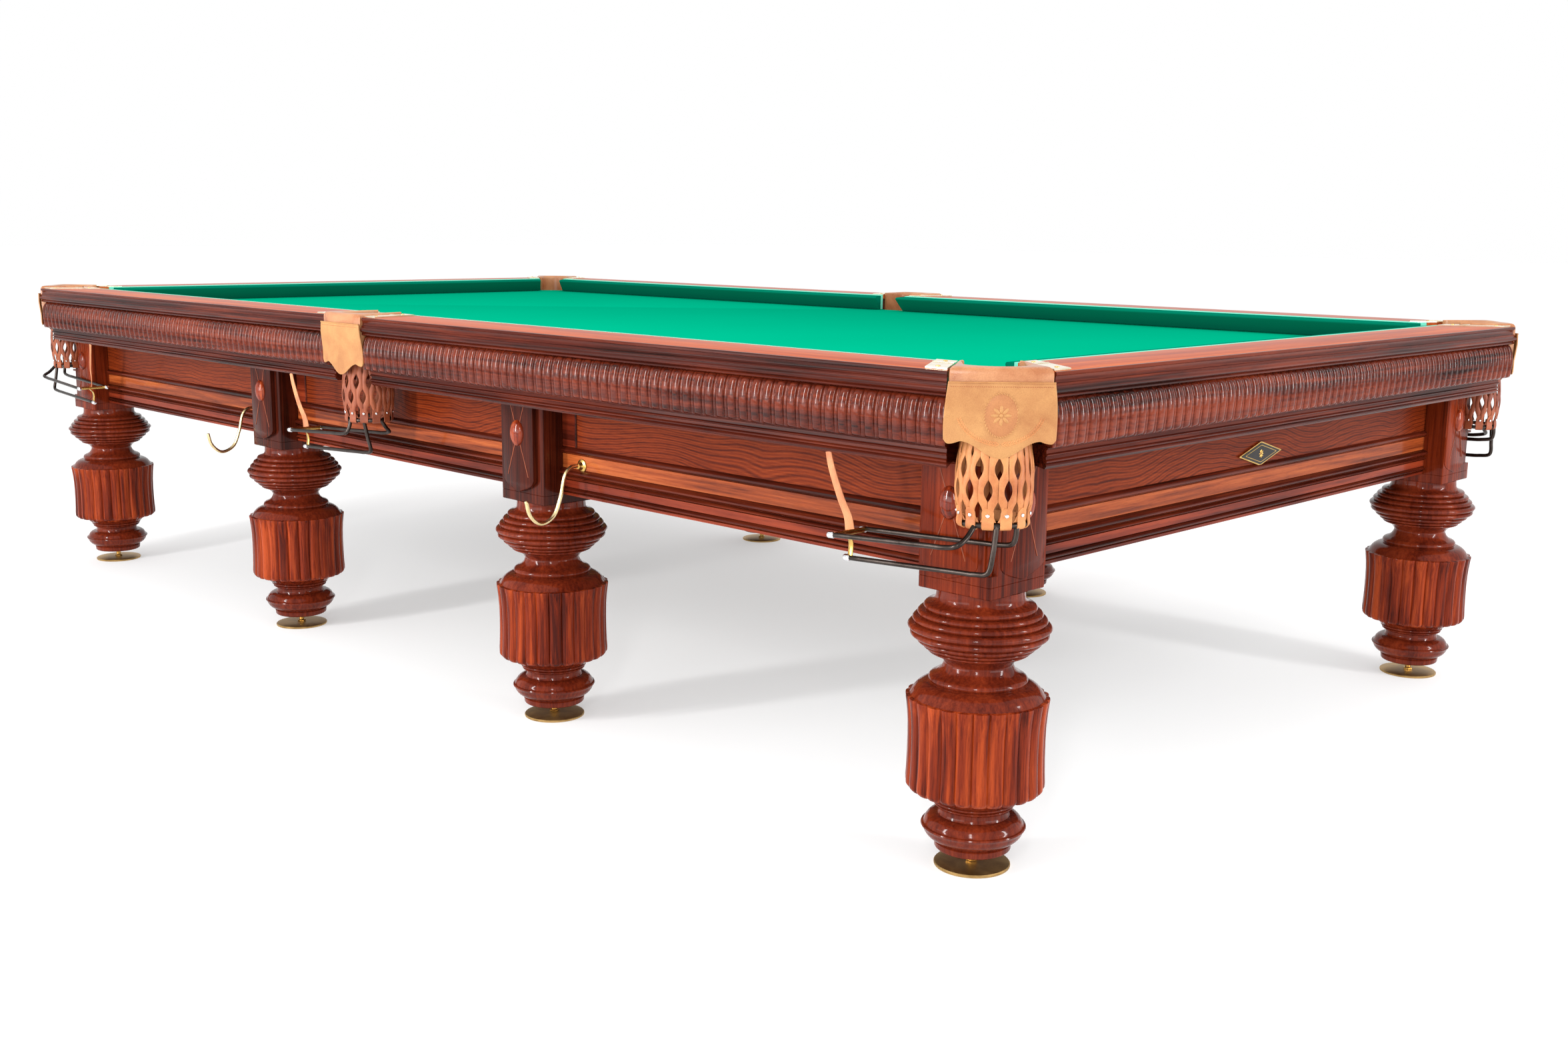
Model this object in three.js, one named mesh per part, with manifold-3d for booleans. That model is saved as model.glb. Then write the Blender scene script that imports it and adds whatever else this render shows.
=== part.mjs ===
// Twelve-foot pool table on eight turned legs, with six pockets, nets and ball racks.
// Millimetres, +Z up. The origin is on the floor under the middle of the table, +X runs along its length.
import * as THREE from "three";
import { mergeVertices } from "three/addons/utils/BufferGeometryUtils.js";
import Module from "manifold-3d";

const wasm = await Module();
wasm.setup();

// Overall sizes
const fieldLength = 3550; // between the cushion noses, along X
const fieldWidth = 1775; // between the cushion noses, along Y
const tableHeight = 892; // floor to the top of the rails
const gap = 0.3; // left between faces that touch

// Rails and cushions
const railWidth = 195; // from a cushion nose out to the rail's edge
const railHeight = 162;
const railFootInset = 30; // how far the rail's underside stops short of its outer edge
const cushionDepth = 50;
const noseHeight = 41; // above the cloth

// Bed
const bedDrop = 47; // from the top of the rails down to the cloth
const clothThickness = 3;
const slateThickness = 45;
const slateOverhang = 70; // the slate's edge, out from the cushion nose
const slateCount = 3;

// Frame
const apronInset = 153; // from the rail's outer edge in to the apron's face
const apronThickness = 40;
const apronDrop = 202; // from the rails' underside to the aprons' lower edge
const beamWidth = 60;
const beamHeight = 156;

// Legs
const legWidth = 154; // square block at the top of a leg
const legProud = 54; // block's faces, out from the apron's face
const legShoulder = 22; // block below the apron
const middleLegOffset = 580; // from the middle of the table to an inner leg
const boreDepth = 75;

// Levelling feet
const footRadius = 68;
const footThickness = 8;
const footGap = 25; // bare stud between the foot and the leg
const studRadius = 7.5;
const studReach = 47; // stud inside the leg

// Pockets
const cornerMouth = 73; // between the noses at a corner
const middleMouth = 83; // between the noses at the middle
const cornerCut = 125; // from the outer corner to the end of each rail
const middleHalfGap = 88; // from the middle to the end of each rail, at the outer edge
const bedCut = 45; // from the nose to the edge of the hole in the bed
const holeRadius = 52; // inside the leather
const throatStart = 62; // where the leather begins, out from the nose
const shieldProud = 6; // leather out past the rail
const leatherTopProud = 7; // leather above the rail
const leatherHeight = 147;
const leatherWall = 7;
const netHeight = 105;
const netWall = 4;
const netWidth = 128; // across, along the edge of the table
const cornerNetDepth = 104; // in the direction out from the table
const middleNetDepth = 120;
const middleNetClear = 8; // middle net in from the rail's edge

// Ball racks
const rodRadius = 4.5;
const rackLength = 281; // from the net's middle to the rods' tips
const rackClear = 3; // between a rod and the leg or the rail's edge
const sideRodDrop = 33; // hoop down to the bend of the two side rods
const lowRodDrop = 79; // hoop down to the bend of the low rod
const rackFall = 18; // fall of the rods along the rack
const bracketThickness = 6;
const bracketHeight = 12;

// Cue-rest hooks
const hookOffset = 145; // from an inner leg
const hookHeight = 70; // above the aprons' lower edge
const hookRadius = 5;
const flangeRadius = 21;
const flangeThickness = 5;

// Diamond plate
const plateWidth = 182;
const plateHeight = 52;
const plateThickness = 6;
const plateDrop = 74; // from the rails' underside to the plate's middle

// Levels and outlines that follow
const railTop = tableHeight;
const railBottom = railTop - railHeight;
const clothTop = railTop - bedDrop;
const slateTop = clothTop - clothThickness - gap;
const slateBottom = slateTop - slateThickness;
const apronBottom = railBottom - apronDrop;
const blockBottom = apronBottom - legShoulder;
const blockTop = railBottom - gap;
const legBottom = footThickness + footGap;
const leatherBottom = railTop + leatherTopProud - leatherHeight;
const netTop = leatherBottom - gap;
const netBottom = netTop - netHeight;
const hoopLevel = netBottom - gap - rodRadius;
const halfLength = fieldLength / 2 + railWidth;
const halfWidth = fieldWidth / 2 + railWidth;
const apronX = halfLength - apronInset;
const apronY = halfWidth - apronInset;
const legX = apronX + legProud - legWidth / 2;
const legY = apronY + legProud - legWidth / 2;
const slateX = fieldLength / 2 + slateOverhang;
const slateY = fieldWidth / 2 + slateOverhang;
const rackHalf = (apronInset - legProud) / 2 - rodRadius - rackClear;
const rackLine = halfWidth - rackClear - rodRadius - rackHalf;
const roundSides = 12;

const table = new THREE.Group();

const material = (color, roughness, metalness = 0) =>
  new THREE.MeshStandardMaterial({ color, roughness, metalness });
const darkWood = material(0x4a1a0e, 0.35);
const railWood = material(0xa85a36, 0.4);
const apronWood = material(0x7a3418, 0.35);
const beamWood = material(0xb08a5a, 0.7);
const slateStone = material(0x4c5054, 0.8);
const bedCloth = material(0x0c9a76, 0.95);
const cushionCloth = material(0x0a6e58, 0.95);
const tanLeather = material(0xa8683a, 0.6);
const netLeather = material(0x8a5230, 0.65);
const rodMetal = material(0x26221f, 0.25, 0.9);
const brass = material(0xb08a42, 0.3, 1);
const plateEnamel = material(0x15100e, 0.25, 0.3);

function place(name, geometry, finish, position = [0, 0, 0], turn = 0) {
  const mesh = new THREE.Mesh(geometry, finish);
  mesh.name = name;
  mesh.position.set(...position);
  mesh.rotation.z = turn;
  table.add(mesh);
}

function solidOf(geometry) {
  const bare = geometry.clone();
  bare.deleteAttribute("normal");
  bare.deleteAttribute("uv");
  const merged = mergeVertices(bare, 1e-3);
  const { Mesh, Manifold } = wasm;
  const vertProperties = new Float32Array(merged.attributes.position.array);
  const triVerts = new Uint32Array(merged.index.array);
  return new Manifold(new Mesh({ numProp: 3, vertProperties, triVerts }));
}

function geometryOf(solid) {
  const { vertProperties, triVerts } = solid.getMesh();
  const geometry = new THREE.BufferGeometry();
  geometry.setAttribute("position", new THREE.BufferAttribute(vertProperties, 3));
  geometry.setIndex(new THREE.BufferAttribute(triVerts, 1));
  return geometry;
}

// A box given by its lowest and highest corners.
function block([x0, y0, z0], [x1, y1, z1]) {
  const geometry = new THREE.BoxGeometry(x1 - x0, y1 - y0, z1 - z0);
  return geometry.translate((x0 + x1) / 2, (y0 + y1) / 2, (z0 + z1) / 2);
}

function outlineShape(points) {
  return new THREE.Shape(points.map(([x, y]) => new THREE.Vector2(x, y)));
}

// An outline in plan, drawn up from one level to another.
function slab(shape, bottom, top) {
  const options = { depth: top - bottom, bevelEnabled: false, curveSegments: 8 };
  return new THREE.ExtrudeGeometry(shape, options).translate(0, 0, bottom);
}

// A straight moulding along X. Its section is [distance out from the nose, level], and each end is a
// leaning plane, given as a function of the distance out.
function moulding(section, startAt, endAt) {
  const geometry = new THREE.ExtrudeGeometry(outlineShape(section), { depth: 1, bevelEnabled: false });
  const corners = geometry.attributes.position;
  for (let i = 0; i < corners.count; i += 1) {
    const out = corners.getX(i);
    const along = corners.getZ(i) < 0.5 ? startAt(out) : endAt(out);
    corners.setXYZ(i, along, out, corners.getY(i));
  }
  return geometry;
}

// A turned shape about Z, from a profile of [radius, level].
function turned(profile, sides) {
  const points = profile.map(([radius, level]) => new THREE.Vector2(radius, level));
  return new THREE.LatheGeometry(points, sides).rotateX(Math.PI / 2);
}

// A round bar along a curve.
function bar(curve, radius, steps) {
  const section = new THREE.Shape().absarc(0, 0, radius, 0, 2 * Math.PI);
  const options = { steps, curveSegments: 3, bevelEnabled: false, extrudePath: curve };
  return new THREE.ExtrudeGeometry(section, options);
}

// The four sides: the turn about Z that brings a side's outward direction from +Y to its own, and the
// distance from the middle of the table to its cushion nose.
const sides = {
  back: { turn: 0, nose: fieldWidth / 2 },
  front: { turn: Math.PI, nose: fieldWidth / 2 },
  right: { turn: -Math.PI / 2, nose: fieldLength / 2 },
  left: { turn: Math.PI / 2, nose: fieldLength / 2 },
};

// Jaws: how far along a side a rail ends, for a distance out from the nose.
const cornerJawStart = cornerMouth / Math.SQRT2;
const jawSlope = (near, far) => (out) => near + ((far - near) * out) / railWidth;
const cornerJaw = (halfField) => jawSlope(halfField - cornerJawStart, halfField + railWidth - cornerCut);
const middleJaw = jawSlope(middleMouth / 2, middleHalfGap);

const cushionSection = [
  [30, clothTop + gap],
  [cushionDepth - gap, clothTop + gap],
  [cushionDepth - gap, railTop - 1],
  [22, railTop - 2],
  [4, clothTop + noseHeight + 3],
  [0, clothTop + noseHeight],
  [3, clothTop + noseHeight - 5],
];

const railSection = [
  [cushionDepth, clothTop + gap],
  [slateOverhang + gap, clothTop + gap],
  [slateOverhang + gap, slateBottom - gap],
  [railWidth - apronInset + gap, slateBottom - gap],
  [railWidth - apronInset + gap, railBottom],
  [railWidth - railFootInset, railBottom],
  [railWidth - railFootInset, railBottom + 7],
  [railWidth - railFootInset + 5, railBottom + 11],
  [railWidth - railFootInset + 5, railBottom + 27],
  [railWidth - railFootInset - 1, railBottom + 32],
  [railWidth - railFootInset + 3, railBottom + 45],
  [railWidth - 9, railTop - 57],
  [railWidth - 7, railTop - 46],
  [railWidth, railTop - 42],
  [railWidth, railTop - 26],
  [railWidth - 5, railTop - 22],
  [railWidth - 5, railTop - 3],
  [railWidth - 8, railTop],
  [cushionDepth, railTop],
];

function addRailAndCushion(name, side, startAt, endAt) {
  const { turn, nose } = sides[side];
  const position = [-Math.sin(turn) * nose, Math.cos(turn) * nose, 0];
  place(`rail_${name}`, moulding(railSection, startAt, endAt), railWood, position, turn);
  place(`cushion_${name}`, moulding(cushionSection, startAt, endAt), cushionCloth, position, turn);
}

const mirrored = (jaw) => (out) => -jaw(out);
for (const side of ["front", "back"]) {
  const jaw = cornerJaw(fieldLength / 2);
  // Looking out over the front side, its own +X points to the table's left.
  const [high, low] = side === "front" ? ["left", "right"] : ["right", "left"];
  addRailAndCushion(`${side}_${high}`, side, middleJaw, jaw);
  addRailAndCushion(`${side}_${low}`, side, mirrored(jaw), mirrored(middleJaw));
}
for (const side of ["left", "right"]) {
  const jaw = cornerJaw(fieldWidth / 2);
  addRailAndCushion(side, side, mirrored(jaw), jaw);
}

// Bed: three slates under one cloth, cut away at the six pockets.
const bedCornerCut = (Math.SQRT2 * slateOverhang - bedCut) * Math.SQRT2;
const notchInner = bedCut + fieldWidth / 2;
const notchHalf = middleMouth / 2 + 16;
const notchFlare = 6;

function bedEdge(sign) {
  return [
    [sign * (notchHalf + notchFlare), sign * slateY],
    [sign * notchHalf, sign * notchInner],
    [-sign * notchHalf, sign * notchInner],
    [-sign * (notchHalf + notchFlare), sign * slateY],
  ];
}

function bedEnd(sign) {
  return [
    [sign * (slateX - bedCornerCut), -sign * slateY],
    [sign * slateX, -sign * (slateY - bedCornerCut)],
    [sign * slateX, sign * (slateY - bedCornerCut)],
    [sign * (slateX - bedCornerCut), sign * slateY],
  ];
}

const slateJoint = slateX / slateCount - gap / 2;
const endSlate = (sign) => [
  [sign * (slateJoint + gap), -sign * slateY],
  ...bedEnd(sign),
  [sign * (slateJoint + gap), sign * slateY],
];
const middleSlate = [
  [-slateJoint, -slateY],
  ...bedEdge(-1),
  [slateJoint, -slateY],
  [slateJoint, slateY],
  ...bedEdge(1),
  [-slateJoint, slateY],
];
place("slate_right", slab(outlineShape(endSlate(1)), slateBottom, slateTop), slateStone);
place("slate_middle", slab(outlineShape(middleSlate), slateBottom, slateTop), slateStone);
place("slate_left", slab(outlineShape(endSlate(-1)), slateBottom, slateTop), slateStone);

const clothOutline = [...bedEdge(-1), ...bedEnd(1), ...bedEdge(1), ...bedEnd(-1)];
place("bed_cloth", slab(outlineShape(clothOutline), clothTop - clothThickness, clothTop), bedCloth);

// Frame: four aprons and three beams carry the slates.
const apronTop = slateBottom - gap;
const apronBack = apronY - apronThickness;
for (const [side, sign] of [["front", -1], ["back", 1]]) {
  const ys = [sign * apronY, sign * apronBack].sort((a, b) => a - b);
  place(`apron_${side}`, block([-apronX, ys[0], apronBottom], [apronX, ys[1], apronTop]), apronWood);
}
const innerReach = apronBack - gap;
for (const [side, sign] of [["left", -1], ["right", 1]]) {
  const xs = [sign * apronX, sign * (apronX - apronThickness)].sort((a, b) => a - b);
  const low = [xs[0], -innerReach, apronBottom];
  place(`apron_${side}`, block(low, [xs[1], innerReach, apronTop]), apronWood);
}
for (const [name, x] of [["left", -slateJoint], ["middle", 0], ["right", slateJoint]]) {
  const low = [x - beamWidth / 2, -innerReach, apronTop - beamHeight];
  const high = [x + beamWidth / 2, innerReach, apronTop];
  place(`cross_beam_${name}`, block(low, high), beamWood);
}

// Pockets. Each has its own frame: the origin where the noses meet, or midway between them, and +Y out.
const cornerDepth = (2 * railWidth - cornerCut) / Math.SQRT2;
const cornerKind = {
  depth: cornerDepth,
  mouth: cornerMouth / 2,
  outer: cornerCut / Math.SQRT2,
  netDepth: cornerNetDepth,
  netMiddle: cornerDepth + shieldProud - cornerNetDepth / 2,
};
const middleKind = {
  depth: railWidth,
  mouth: middleMouth / 2,
  outer: middleHalfGap,
  netDepth: middleNetDepth,
  netMiddle: railWidth - middleNetClear - middleNetDepth / 2,
};

// Distance from a pocket's middle line to the rail ends, for a distance out.
const wedge = (kind, out) => kind.mouth + ((kind.outer - kind.mouth) * out) / kind.depth - 2 * gap;

function pocketLeather(kind) {
  const holeMiddle = kind.depth - holeRadius - 20;
  const throat = wedge(kind, throatStart);
  const shoulder = kind.depth - 2;
  const half = wedge(kind, shoulder);
  const shape = outlineShape([
    [throat, throatStart],
    [half, shoulder],
    [half, kind.depth + shieldProud],
    [-half, kind.depth + shieldProud],
    [-half, shoulder],
    [-throat, throatStart],
    [-throat + leatherWall, throatStart],
    [-holeRadius, holeMiddle],
  ]);
  shape.absarc(0, holeMiddle, holeRadius, Math.PI, 0, true);
  shape.lineTo(throat - leatherWall, throatStart);
  return slab(shape, leatherBottom, leatherBottom + leatherHeight);
}

// A hanging basket, open at both ends, a little narrower at the bottom.
function pocketNet(kind) {
  const radius = netWidth / 2;
  const outside = [
    [radius - 10, netBottom],
    [radius - 2, netBottom + 28],
    [radius, netBottom + 60],
    [radius - 3, netTop],
  ];
  const inside = outside.map(([r, level]) => [r - netWall, level]).reverse();
  const geometry = turned([...outside, ...inside, outside[0]], 2 * roundSides);
  return geometry.scale(1, kind.netDepth / netWidth, 1).translate(0, kind.netMiddle, 0);
}

const pockets = [
  { name: "front_right", kind: cornerKind, x: 1, y: -1, run: -1 },
  { name: "front_middle", kind: middleKind, x: 0, y: -1, run: -1 },
  { name: "front_left", kind: cornerKind, x: -1, y: -1, run: 1 },
  { name: "back_right", kind: cornerKind, x: 1, y: 1, run: -1 },
  { name: "back_middle", kind: middleKind, x: 0, y: 1, run: -1 },
  { name: "back_left", kind: cornerKind, x: -1, y: 1, run: 1 },
];

// The hoop under a net, with three rods that run beside the apron as an open trough for the balls.
function ballRack({ kind, x, y, run }, position, turn) {
  const across = netWidth / 2 - 10;
  const outwards = (across * kind.netDepth) / netWidth;
  const middle = new THREE.Vector3(0, kind.netMiddle, hoopLevel);
  middle.applyAxisAngle(new THREE.Vector3(0, 0, 1), turn).add(new THREE.Vector3(...position));

  const hoop = new THREE.TorusGeometry(1, rodRadius / across, 5, roundSides);
  hoop.scale(across, outwards, across).rotateZ(turn).translate(middle.x, middle.y, middle.z);
  // The hoop's point in a direction of the table's plan.
  const hoopPoint = (dx, dy) => {
    const along = dx * Math.cos(turn) + dy * Math.sin(turn);
    const out = dy * Math.cos(turn) - dx * Math.sin(turn);
    const reach = 1 / Math.hypot(along / across, out / outwards);
    return new THREE.Vector3(middle.x + reach * dx, middle.y + reach * dy, middle.z);
  };

  const rod = (start, line, drop) => {
    const elbowX = start.x + run * 4;
    const tip = new THREE.Vector3(middle.x + run * rackLength, y * line, hoopLevel - drop - rackFall);
    const curve = new THREE.CatmullRomCurve3([
      start,
      new THREE.Vector3(start.x, (start.y + y * line) / 2, hoopLevel - drop * 0.55),
      new THREE.Vector3(elbowX, y * line, hoopLevel - drop + 3),
      new THREE.Vector3(elbowX + run * 26, y * line, hoopLevel - drop - 3),
      new THREE.Vector3(elbowX + run * 60, y * line, hoopLevel - drop - 5),
      tip,
    ], false, "centripetal");
    return solidOf(bar(curve, rodRadius, 16));
  };

  const tipX = middle.x + run * (rackLength - 8);
  const bracket = ([y0, z0], [y1, z1]) => solidOf(block(
    [tipX - bracketThickness / 2, Math.min(y * y0, y * y1), z0],
    [tipX + bracketThickness / 2, Math.max(y * y0, y * y1), z1],
  ));
  const sideLevel = hoopLevel - sideRodDrop - rackFall;
  const lowLevel = hoopLevel - lowRodDrop - rackFall;
  const parts = [
    rod(hoopPoint(0, y), rackLine + rackHalf, sideRodDrop),
    rod(hoopPoint(-run, 0), rackLine - rackHalf, sideRodDrop),
    rod(hoopPoint(-run * Math.SQRT1_2, y * Math.SQRT1_2), rackLine, lowRodDrop),
    bracket([rackLine - rackHalf, sideLevel - 6], [rackLine + rackHalf, sideLevel + bracketHeight - 6]),
    bracket([rackLine - 6, lowLevel - 4], [rackLine + 6, sideLevel]),
  ];
  return geometryOf(parts.reduce((whole, part) => whole.add(part), solidOf(hoop)));
}

for (const pocket of pockets) {
  const { name, kind, x, y } = pocket;
  const position = [(x * fieldLength) / 2, (y * fieldWidth) / 2, 0];
  const turn = Math.atan2(-x, y);
  place(`pocket_leather_${name}`, pocketLeather(kind), tanLeather, position, turn);
  place(`net_${name}`, pocketNet(kind), netLeather, position, turn);
  place(`ball_rack_${name}`, ballRack(pocket, position, turn), rodMetal);
}

// Legs: a turned baluster below a square block. The block's top is cut back to a saddle, so that the
// apron rests on it, and a corner block is cut again to leave room for its net.
const turnedLow = [
  [66, 0],
  [66, 12],
  [92, 39],
  [92, 51],
  [61, 78],
  [98, 104],
  [122, 117],
];
const turnedHigh = [
  [126, 191],
  [112, 180],
  [85, 162],
  [60, 133],
  [88, 112],
  [122, 78],
  [122, 66],
  [108, 44],
  [93, 26],
  [75, 16],
  [75, -2],
];

function legSolid(isCorner) {
  const bore = studRadius + gap;
  const baluster = turned([
    [0, legBottom + boreDepth],
    [bore, legBottom + boreDepth],
    [bore, legBottom],
    ...turnedLow.map(([radius, up]) => [radius, legBottom + up]),
    ...turnedHigh.map(([radius, down]) => [radius, blockBottom - down]),
    [0, blockBottom + 2],
  ], roundSides);
  const half = legWidth / 2;
  const square = block([-half, -half, blockBottom], [half, half, blockTop]);
  const inside = half - legProud + gap;
  const saddle = block([-half - 1, -half - 1, apronBottom - gap], [half + 1, inside, blockTop + 1]);
  let leg = solidOf(baluster).add(solidOf(square));
  if (!isCorner) return leg.subtract(solidOf(saddle));
  const corner = block([-half - 1, -half - 1, apronBottom - gap], [inside, inside, blockTop + 1]);
  leg = leg.subtract(solidOf(corner));
  // The net's inner side, measured from the leg's middle along the diagonal.
  const noseToLeg = [legX - fieldLength / 2, legY - fieldWidth / 2];
  const legOut = (noseToLeg[0] + noseToLeg[1]) * Math.SQRT1_2;
  const netInside = cornerKind.netMiddle - cornerKind.netDepth / 2 - 2 - legOut;
  const netRoom = block([-legWidth, netInside, hoopLevel - 14], [legWidth, 2 * legWidth, blockTop + 1]);
  return leg.subtract(solidOf(netRoom.rotateZ(-Math.PI / 4)));
}

const footProfile = [
  [0, 0],
  [footRadius, 0],
  [footRadius, footThickness / 2],
  [footRadius - 12, footThickness],
  [studRadius, footThickness],
  [studRadius, legBottom + studReach],
  [0, legBottom + studReach],
];

// A leg is drawn for the corner where X and Y are positive, then turned or mirrored into place.
const legPlaces = [
  ["right", legX, true],
  ["middle_right", middleLegOffset, false],
  ["middle_left", -middleLegOffset, false],
  ["left", -legX, true],
];
for (const [side, sign] of [["front", -1], ["back", 1]]) {
  for (const [name, x, isCorner] of legPlaces) {
    // Corner legs turn by quarters so that the L of the block faces out both ways.
    const outX = isCorner ? Math.sign(x) : 0;
    const turn = isCorner ? Math.atan2(-outX, sign) + Math.PI / 4 : (sign < 0 ? Math.PI : 0);
    place(`leg_${side}_${name}`, geometryOf(legSolid(isCorner)), darkWood, [x, sign * legY, 0], turn);
    place(`foot_${side}_${name}`, turned(footProfile, roundSides), brass, [x, sign * legY, 0]);
  }
}

// Hooks for the cue rest, in the plane across the apron.
function hookSolid() {
  const path = new THREE.CatmullRomCurve3([
    [0, 0],
    [30, 0],
    [46, -14],
    [60, -62],
    [80, -102],
    [114, -114],
    [141, -92],
    [150, -62],
  ].map(([out, up]) => new THREE.Vector3(0, out, up)), false, "centripetal");
  const stem = solidOf(bar(path, hookRadius, 18));
  const flange = new THREE.CylinderGeometry(flangeRadius, flangeRadius, flangeThickness, roundSides);
  return geometryOf(stem.add(solidOf(flange.translate(0, flangeThickness / 2, 0))));
}
const hookX = middleLegOffset + hookOffset;
for (const [name, x] of [["right", hookX], ["left", -hookX]]) {
  const position = [x, -apronY - gap, apronBottom + hookHeight];
  place(`cue_rest_hook_${name}`, hookSolid(), brass, position, Math.PI);
}

// Diamond plate on the right-hand apron.
const diamond = outlineShape([
  [plateWidth / 2, 0],
  [0, plateHeight / 2],
  [-plateWidth / 2, 0],
  [0, -plateHeight / 2],
]);
const plate = new THREE.ExtrudeGeometry(diamond, { depth: plateThickness, bevelEnabled: false });
plate.rotateX(Math.PI / 2).rotateZ(Math.PI / 2);
place("diamond_plate", plate, plateEnamel, [apronX + gap, 0, railBottom - plateDrop]);

export default table;
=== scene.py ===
"""Looks for the twelve-foot pool table: carved rails, turned legs, leather pockets and green cloth.

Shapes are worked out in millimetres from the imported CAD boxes, and meshes are made in metres.
"""
import math

import bmesh
import bpy
import numpy as np
from mathutils import Matrix, Vector


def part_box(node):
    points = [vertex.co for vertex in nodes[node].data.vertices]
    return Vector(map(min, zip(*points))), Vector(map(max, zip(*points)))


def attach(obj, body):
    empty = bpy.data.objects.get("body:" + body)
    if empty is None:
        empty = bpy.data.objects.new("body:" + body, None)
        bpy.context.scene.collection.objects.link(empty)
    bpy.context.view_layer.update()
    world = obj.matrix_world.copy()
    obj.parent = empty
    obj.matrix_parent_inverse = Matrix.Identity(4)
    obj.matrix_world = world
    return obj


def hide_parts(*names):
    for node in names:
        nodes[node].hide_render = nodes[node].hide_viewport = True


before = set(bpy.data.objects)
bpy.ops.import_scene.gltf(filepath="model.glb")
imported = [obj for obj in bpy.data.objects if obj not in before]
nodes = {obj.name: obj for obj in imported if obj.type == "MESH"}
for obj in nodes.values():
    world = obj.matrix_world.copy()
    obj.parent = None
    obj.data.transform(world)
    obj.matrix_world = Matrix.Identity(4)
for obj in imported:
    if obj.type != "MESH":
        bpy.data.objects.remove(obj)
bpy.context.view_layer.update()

MM = 0.001
TABLE = "table"


def span(node):
    """A CAD node's lowest and highest corner, in millimetres."""
    low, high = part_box(node)
    return np.array(low) / MM, np.array(high) / MM


# ---- sizes read from the frame
rail_low, rail_high = span("rail_right")
apron_low, apron_high = span("apron_right")
cloth_high = span("bed_cloth")[1]
corner_leg_low, corner_leg_high = span("leg_back_right")
middle_leg_low, middle_leg_high = span("leg_back_middle_right")
plate_low, plate_high = span("diamond_plate")
leather_high = span("pocket_leather_back_middle")[1]

RAIL_BOTTOM = rail_low[2]
HALF_LENGTH = rail_high[0]
HALF_WIDTH = span("rail_back_right")[1][1]
NOSE_X = span("cushion_right")[0][0]
NOSE_Y = span("cushion_back_right")[0][1]
RAIL_WIDTH = HALF_LENGTH - NOSE_X
CLOTH_TOP = cloth_high[2]
APRON_X = apron_high[0]
APRON_Y = span("apron_back")[1][1]
APRON_BOTTOM = apron_low[2]
APRON_TOP = apron_high[2]
LEG_RADIUS = (corner_leg_high[0] - corner_leg_low[0]) / 2
LEG_X = corner_leg_high[0] - LEG_RADIUS
LEG_Y = corner_leg_high[1] - LEG_RADIUS
MIDDLE_LEG_X = (middle_leg_low[0] + middle_leg_high[0]) / 2
BLOCK_TOP = corner_leg_high[2]
HOOP_LEVEL = span("net_back_middle")[0][2] - 4.8
LEATHER_TOP = leather_high[2]
SHIELD_PROUD = leather_high[1] - HALF_WIDTH

# Sizes that the CAD boxes don't give
BLOCK_HALF = 77.0
BLOCK_PROUD = 54.0
BLOCK_BOTTOM = APRON_BOTTOM - 22.0
CORNER_CUT = 125.0
CORNER_MOUTH = 73.0
CORNER_JAW = CORNER_MOUTH / math.sqrt(2)
MIDDLE_JAW = 83.0 / 2
MIDDLE_GAP = 88.0
CORNER_DEPTH = (2 * RAIL_WIDTH - CORNER_CUT) / math.sqrt(2)
ROD_RADIUS = 4.5


# ---- mesh helpers
def mesh_object(name, verts, faces, finish, sharp=35.0, closed=True):
    """A smooth-shaded mesh from points in millimetres. A closed one has its faces turned outwards."""
    data = bpy.data.meshes.new(name)
    data.from_pydata((np.asarray(verts, float) * MM).tolist(), [], faces)
    data.validate()
    if closed:
        work = bmesh.new()
        work.from_mesh(data)
        bmesh.ops.recalc_face_normals(work, faces=work.faces)
        work.to_mesh(data)
        work.free()
    data.shade_smooth()
    data.set_sharp_from_angle(angle=math.radians(sharp))
    data.materials.append(finish)
    made = bpy.data.objects.new(name, data)
    bpy.context.scene.collection.objects.link(made)
    return made


def turns(count):
    """Angles spread evenly over a full turn."""
    return np.arange(count) * 2 * math.pi / count


def tangents(path):
    """Unit directions along a path."""
    along = np.gradient(np.asarray(path, float), axis=0)
    return along / np.linalg.norm(along, axis=1)[:, None]


def grid_faces(rows, columns, wrap_rows=False, wrap_columns=False):
    """Quads of a grid of points, rows by columns."""
    faces = []
    for i in range(rows if wrap_rows else rows - 1):
        for j in range(columns if wrap_columns else columns - 1):
            i2, j2 = (i + 1) % rows, (j + 1) % columns
            faces.append((i * columns + j, i * columns + j2, i2 * columns + j2, i2 * columns + j))
    return faces


def loft(name, rings, finish, sharp=35.0):
    """A closed skin over rings of points, with flat ends."""
    rings = np.asarray(rings, float)
    rows, columns = rings.shape[:2]
    faces = grid_faces(rows, columns, wrap_columns=True)
    faces.append(tuple(range(columns - 1, -1, -1)))
    faces.append(tuple((rows - 1) * columns + j for j in range(columns)))
    return mesh_object(name, rings.reshape(-1, 3), faces, finish, sharp)


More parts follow.
